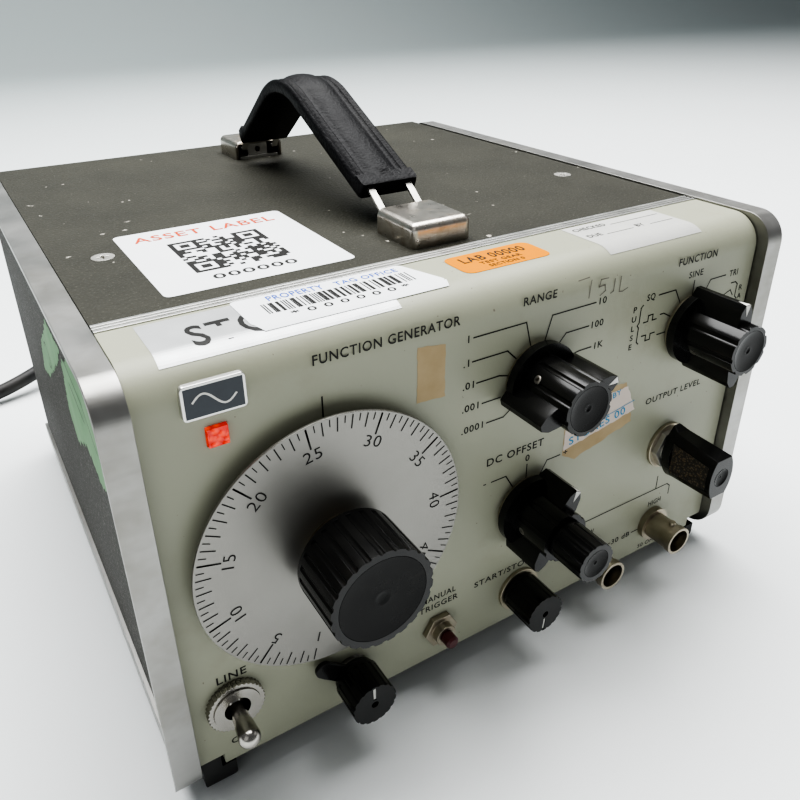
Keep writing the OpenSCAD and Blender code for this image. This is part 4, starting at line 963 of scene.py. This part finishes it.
# --- Line switch, push button, jacks ---
# Nickel plated brass: the knurled nut and lever of the line switch, the nut and bushing of the push
# button, and the bayonet jacks, whose insulators are white.
plated = mottled("plated_brass", (150, 4), (0.27, 0.235, 0.175), (0.46, 0.425, 0.35),
    (0.22, 0.25, 180, 3), (600, 2, 0.08, 0.0001), Metallic=1.0)
bright_plate = mottled("bright_plate", (150, 4), (0.33, 0.315, 0.285), (0.50, 0.485, 0.45),
    (0.14, 0.2, 180, 3), (600, 2, 0.08, 0.0001), Metallic=1.0)
for node in ("line_switch_nut", "line_lever", "line_switch"):
    taken_over(node, bright_plate, 0.18)
for node in ("trigger_switch", "signal_jacks"):
    taken_over(node, plated, 0.18)
maroon = mottled("maroon_button", (200, 3), (0.045, 0.006, 0.008), (0.08, 0.010, 0.012), (0.3, 0.15, 300))
taken_over("trigger_button", maroon, 0.15)
pot_metal = mottled("can_metal", (80, 3), (0.40, 0.39, 0.36), (0.52, 0.51, 0.47),
    (0.35, 0.2, 120), Metallic=1.0)
for node in ("frequency_pot", "level_pot", "phase_pot", "mode_switch", "range_switch", "function_switch",
             "offset_switch"):
    taken_over(node, pot_metal, 0.1)

# --- Pilot lens and badge ---
# A square red lens with a painted glow, brighter in its facets, and a dark enamelled plate with a bright
# edge, which carries one white wave.
lens_red = material("pilot_lens", lambda w: {
    "Base Color": w.noise(400, 2).blend((0.35, 0.008, 0.006), (0.60, 0.02, 0.014)),
    "Roughness": 0.18 + 0.1 * w.noise(300),
    # Painted glow: this emission, brighter in the facets, stands in for light on the lens; no lamp behind it
    # is lit.
    "Emission Color": w.cells(620).ramp([(0.2, 0), (0.6, 1)]).blend((0.95, 0.11, 0.04), (0.50, 0.025, 0.012)),
    "Normal": w.cells(620).bump(0.7, 0.0006)}, Emission_Strength=0.7)
taken_over("pilot_lens", lens_red, 0.3)
taken_over("badge", strip_metal, 0.2)
enamel_slate = mottled("enamel_slate", (300, 3), (0.016, 0.022, 0.030), (0.030, 0.040, 0.052),
    (0.18, 0.1, 200))


def patch(name, corners, point, lift, finish, slot_name="panel", across=1, along=1):
    """A thin sheet between four corners (u, v) on a surface, in that many steps each way."""
    a, b, c, d = (Vector(corner) for corner in corners)
    points = []
    for k in range(along + 1):
        for j in range(across + 1):
            s, t = j / across, k / along
            place = (a * (1 - s) + b * s) * (1 - t) + (d * (1 - s) + c * s) * t
            points.append(point(place.x, place.y, lift) * MM)
    n = across + 1
    shapes = [(k * n + j, k * n + j + 1, k * n + n + j + 1, k * n + n + j)
              for k in range(along) for j in range(across)]
    return small_mesh(name, points, shapes, finish, "case", slot_name)


patch("badge_face", [(-82.1, 102.8), (-70.1, 102.8), (-70.1, 109.4), (-82.1, 109.4)], on_panel, 1.53,
      enamel_slate, "badge")
wave_l, wave_h, wave_steps = 9, 1.6, 36
wave, ribbon = [], []
for k in range(wave_steps + 1):
    turn = 2 * math.pi * k / wave_steps
    across = Vector((-wave_h * 2 * math.pi / wave_l * math.cos(turn), 1)).normalized() * 0.22
    middle = Vector((-80.6 + wave_l * k / wave_steps, 106.1 + wave_h * math.sin(turn)))
    wave += [on_panel(*(middle - across), 1.58) * MM, on_panel(*(middle + across), 1.58) * MM]
    if k:
        ribbon.append((2 * k - 2, 2 * k, 2 * k + 1, 2 * k - 1))
small_mesh("badge_sign", wave, ribbon, white_fill, "case", "badge")

# --- Labels, tape and pencil marks ---
# Paper and foil stickers that its keepers put on it: a square white one on the cover, a foil one under a
# bar-coded one, an orange one and a grey one on the roll, and worn ones on the front and the left side.
def paper(name, low, high, rough=0.55):
    return material(name, lambda w: {
        "Base Color": w.noise(90, 4, 0.6).blend(low, high),
        "Roughness": rough + 0.15 * w.noise(150),
        "Normal": w.noise(160, 3).bump(0.15, 0.0003)}, Specular_IOR_Level=0.12)


white_paper = paper("white_paper", (0.78, 0.80, 0.81), (0.86, 0.88, 0.89), 0.45)
ink_red = paper("ink_red", (0.50, 0.07, 0.03), (0.62, 0.11, 0.05))
ink_blue = paper("ink_blue", (0.03, 0.09, 0.42), (0.06, 0.14, 0.52))
ink_cyan = paper("ink_cyan", (0.04, 0.24, 0.42), (0.08, 0.32, 0.50))
pencil = paper("pencil", (0.14, 0.13, 0.11), (0.24, 0.22, 0.19))
foil = mottled("foil", (70, 4), (0.40, 0.41, 0.41), (0.54, 0.55, 0.55), (0.38, 0.15, 200), Metallic=0.7)
orange_paper = paper("orange_paper", (0.60, 0.20, 0.0), (0.68, 0.245, 0.0), 0.6)
grey_paper = paper("grey_paper", (0.42, 0.42, 0.40), (0.54, 0.54, 0.51))
green_paper = paper("green_paper", (0.12, 0.26, 0.13), (0.26, 0.42, 0.25))
tan_paper = paper("tan_paper", (0.34, 0.25, 0.13), (0.52, 0.42, 0.27))
pink_paper = paper("pink_paper", (0.58, 0.50, 0.44), (0.68, 0.61, 0.55))


def outline(corners, r, steps=5):
    """The corners' outline with its corners rounded."""
    line = []
    for k, corner in enumerate(corners):
        before, here, after = Vector(corners[k - 1]), Vector(corner), Vector(corners[(k + 1) % len(corners)])
        start = here + (before - here).normalized() * r
        stop = here + (after - here).normalized() * r
        for step in range(steps + 1):
            t = step / steps
            line.append((start * (1 - t) + here * t) * (1 - t) + (here * (1 - t) + stop * t) * t)
    return line


def sheet(name, line, point, lift, finish, slot_name="panel"):
    """A flat sheet with that outline."""
    return small_mesh(name, [point(p[0], p[1], lift) * MM for p in line], [tuple(range(len(line)))],
                      finish, "case", slot_name)


def torn(line, seed, ragged):
    """The outline with its sides broken up as torn paper."""
    draw = random.Random(seed)
    points = []
    for k in range(len(line)):
        a, b = Vector(line[k]), Vector(line[(k + 1) % len(line)])
        count = max(2, int((b - a).length / 1.2))
        side = Vector((a.y - b.y, b.x - a.x)).normalized()
        points += [a + (b - a) * j / count + side * draw.uniform(-ragged, ragged) for j in range(count)]
    return points


sheet("white_label", outline([(-74, 38), (-24.5, 38), (-24.5, 89.4), (-74, 89.4)], 2), on_cover, 0.10,
      white_paper, "cover")
print_on("white_label_heading", on_cover, [("ASSET LABEL", -49.3, 80.5, 4.6, 0.5, 0, 41)], [], ink_red,
         slot_name="cover", lift=0.16)
draw = random.Random(11)
cell, across_count, first_u, first_v = 1.28, 20, -62.8, 49.6
last = across_count - 1
blocks = []
for row in range(across_count):
    for column in range(across_count):
        corner_row, corner_column = min(row, last - row), min(column, last - column)
        ringed = corner_row < 6 and corner_column < 6 and not (row < 6 and column > 13)
        depth = min(corner_row, corner_column, 5 - min(corner_row, 5), 5 - min(corner_column, 5))
        if (ringed and depth in (0, 2)) or (not ringed and draw.random() < 0.5):
            blocks.append([(first_u + cell * column, first_v + cell * (row + 0.5)),
                           (first_u + cell * (column + 1), first_v + cell * (row + 0.5))])
trimmed = [[(a[0] + cell / 2 - 0.001, a[1]), (a[0] + cell / 2 + 0.001, a[1])] for a, b in blocks]
print_on("white_label_blocks", on_cover, [("000000", -49.3, 43.2, 3.2, 0.5, 0, 22)], trimmed, ink,
         slot_name="cover", width=cell, lift=0.16)
patch("foil_label", [(-84.4, 7.1), (-30, 7.1), (-30, 26), (-84.4, 26)], on_roll, 0.08, foil,
      across=4, along=24)
print_on("foil_label_words", on_roll, [("STORES", -76, 10.5, 9.5, 0, 0, 34)], [], ink, lift=0.13)
sheet("bar_label", outline([(-63.1, 12.8), (-14, 12.8), (-18.8, 27.3), (-63.1, 27.3)], 1.5), on_roll, 0.2,
      white_paper)
patch("bar_label_front", [(-61.5, 9.9), (-15.4, 9.9), (-14.2, 12.85), (-62.8, 12.85)], on_roll, 0.2,
      white_paper, across=6, along=6)
print_on("bar_label_heading", on_roll, [("PROPERTY", -55, 23.4, 2.7, 0, 0, 14),
         ("TAG OFFICE", -38, 23.5, 2.2, 0, 0, 17)], [], ink_blue, lift=0.26)
bars, at = [], -57.5
while at < -20:
    wide = draw.choice((0.3, 0.3, 0.75))
    bars.append([(at, 16.6 + wide / 2), (at, 22.2 - wide / 2), wide])
    at += wide + draw.choice((0.3, 0.3, 0.7))
for k, wide in enumerate((0.3, 0.75)):
    number = [] if k else [("* 0 0 0 0 0 0 *", -38.5, 13.4, 2.1, 0.5, 0, 30)]
    print_on(f"bar_label_bars_{k}", on_roll, number, [bar[:2] for bar in bars if bar[2] == wide], ink,
             width=wide, lift=0.26)
sheet("orange_label", outline([(-7.8, 12.6), (19.4, 12.6), (19.4, 24.7), (-7.8, 24.7)], 3), on_roll, 0.1,
      orange_paper)
print_on("orange_label_words", on_roll, [("LAB 00000", 5.8, 19.2, 3.4, 0.5, 0, 20),
         ("TEST GEAR", 5.8, 16.5, 1.5, 0.5, 0, 13), ("SECTION 0", 5.8, 14, 1.5, 0.5, 0, 11)], [], ink,
         lift=0.15)
patch("grey_label", [(34.6, 7), (70.5, 7), (70.5, 26.8), (34.6, 26.8)], on_roll, 0.08, grey_paper,
      across=4, along=24)
print_on("grey_label_words", on_roll, [("CHECKED", 36.5, 22.8, 1.9, 0, 0, 12),
                                       ("DUE", 36.5, 17, 1.9, 0, 0, 5),
         ("BY", 55, 17, 1.9, 0, 0, 3)], [[(50, 22.8), (69, 22.8)], [(43, 17), (53, 17)],
                                         [(60, 17), (69, 17)]],
         ink, width=0.2, lift=0.13)
sheet("tape", torn([(-28.6, 88.9), (-20.6, 88.4), (-20.6, 102.4), (-28.4, 103.4)], 3, 0.15), on_panel, 0.05,
      tan_paper)
sheet("paper_under", torn([(20.6, 56.2), (25.6, 53.2), (47.8, 58.6), (43.4, 73), (33, 74.2), (20.6, 66.4)],
                          4, 0.3),
      on_panel, 0.05, tan_paper)
sheet("paper_over", torn([(20.8, 57.5), (48.3, 62.4), (44.2, 71.6), (32, 71), (20.8, 66)], 5, 0.2),
      on_panel, 0.10,
      pink_paper)
print_on("paper_words", on_panel, [("BY", 38.4, 69.2, 1.8, 0, 10), ("STORES 00", 22.8, 58.8, 2.5, 0, 9.5,
    22)],
         [[(34, 63.6), (47.6, 65.8)]], ink_cyan, width=0.25, lift=0.15)
print_on("pencil_marks", on_panel, [], [[(20, 109.2), (23.6, 109.4)], [(24.6, 108.4), (24.2, 103.6)],
         [(30.6, 107.8), (28, 107.9), (27.6, 105.9), (29.6, 106.1), (30, 104.4), (28.2, 103.4)],
         [(33.2, 107), (33, 103.6), (32, 103.2)], [(35.4, 107.2), (35.2, 103), (36.4, 102.8), (38.3, 103.4)]],
         pencil, width=0.3, lift=0.05)


skin_x = -96.0


def on_left_skin(y, v, lift=0.05):
    """A point on the left skin, y back from the castings' front and v up from their foot."""
    return Vector((skin_x - lift, front_y + y, base_z + v))


sheet("green_label", torn([(64, 92), (72.6, 73.8), (66.5, 66.5), (48.7, 76.5), (34.9, 71.9), (25.4, 75.1),
                           (19.2, 88.8),
      (22, 101), (44.2, 102.7)], 6, 1.0), on_left_skin, 0.06, green_paper, "skin")
sheet("green_scrap", torn([(114.6, 76.8), (126.6, 63), (112, 66), (73.7, 88), (62, 97), (82, 97)], 7, 0.8),
      on_left_skin,
      0.06, green_paper, "skin")
print_on("green_label_words", on_left_skin, [], [arc(100, 79, 4, 20, 300, 10), [(58, 96), (40, 92), (30, 84)],
         [(56, 90), (42, 86)]], ink, slot_name="skin", width=0.6, lift=0.10)

# --- Feet, bumpers ---
# Black rubber mouldings: two feet under the front, two under the rear, and four bumpers at the rear
# corners, each held by a screw through its middle.
rubber = mottled("black_rubber", (90, 4), (0.012, 0.012, 0.012), (0.03, 0.03, 0.028),
    (0.6, 0.2, 70), (1200, 2, 0.2, 0.0002))
for node in ("front_feet", "rear_feet", "rear_bumpers"):
    taken_over(node, rubber, 0.3)

# --- Rear panel and its fittings ---
# Bare aluminium sheet, brushed one way, for the rear panel and the deck inside. The inlet, the fuse
# holder and its cap and the voltage selector are black mouldings, and the selector's slider is red.
sheet_metal = material("plain_sheet", lambda w: {
    "Base Color": w.noise(60, 4).blend((0.52, 0.52, 0.50), (0.66, 0.66, 0.64)),
    "Roughness": 0.32 + 0.2 * w.noise(200, 3, 0.6, w.stretched(1, 1, 0.05))}, Metallic=0.9)
for node in ("rear_panel", "chassis_deck"):
    taken_over(node, sheet_metal, 0.12)
for node in ("mains_inlet", "fuse_holder", "fuse_cap", "voltage_selector"):
    taken_over(node, moulded, 0.25)
taken_over("selector_slider", maroon, 0.1)

# --- Board and transformer ---
# The green circuit board that stands on the deck, and the mains transformer behind it, whose stack of
# iron sheets is dipped in dark varnish.
board_green = mottled("board_green", (150, 3), (0.03, 0.16, 0.06), (0.06, 0.24, 0.10), (0.35, 0.2, 200))
taken_over("main_board", board_green, 0)
iron = mottled("varnished_iron", (100, 3), (0.05, 0.045, 0.04), (0.10, 0.09, 0.08),
    (0.4, 0.2, 150), Metallic=0.6)
taken_over("transformer", iron, 0.2)
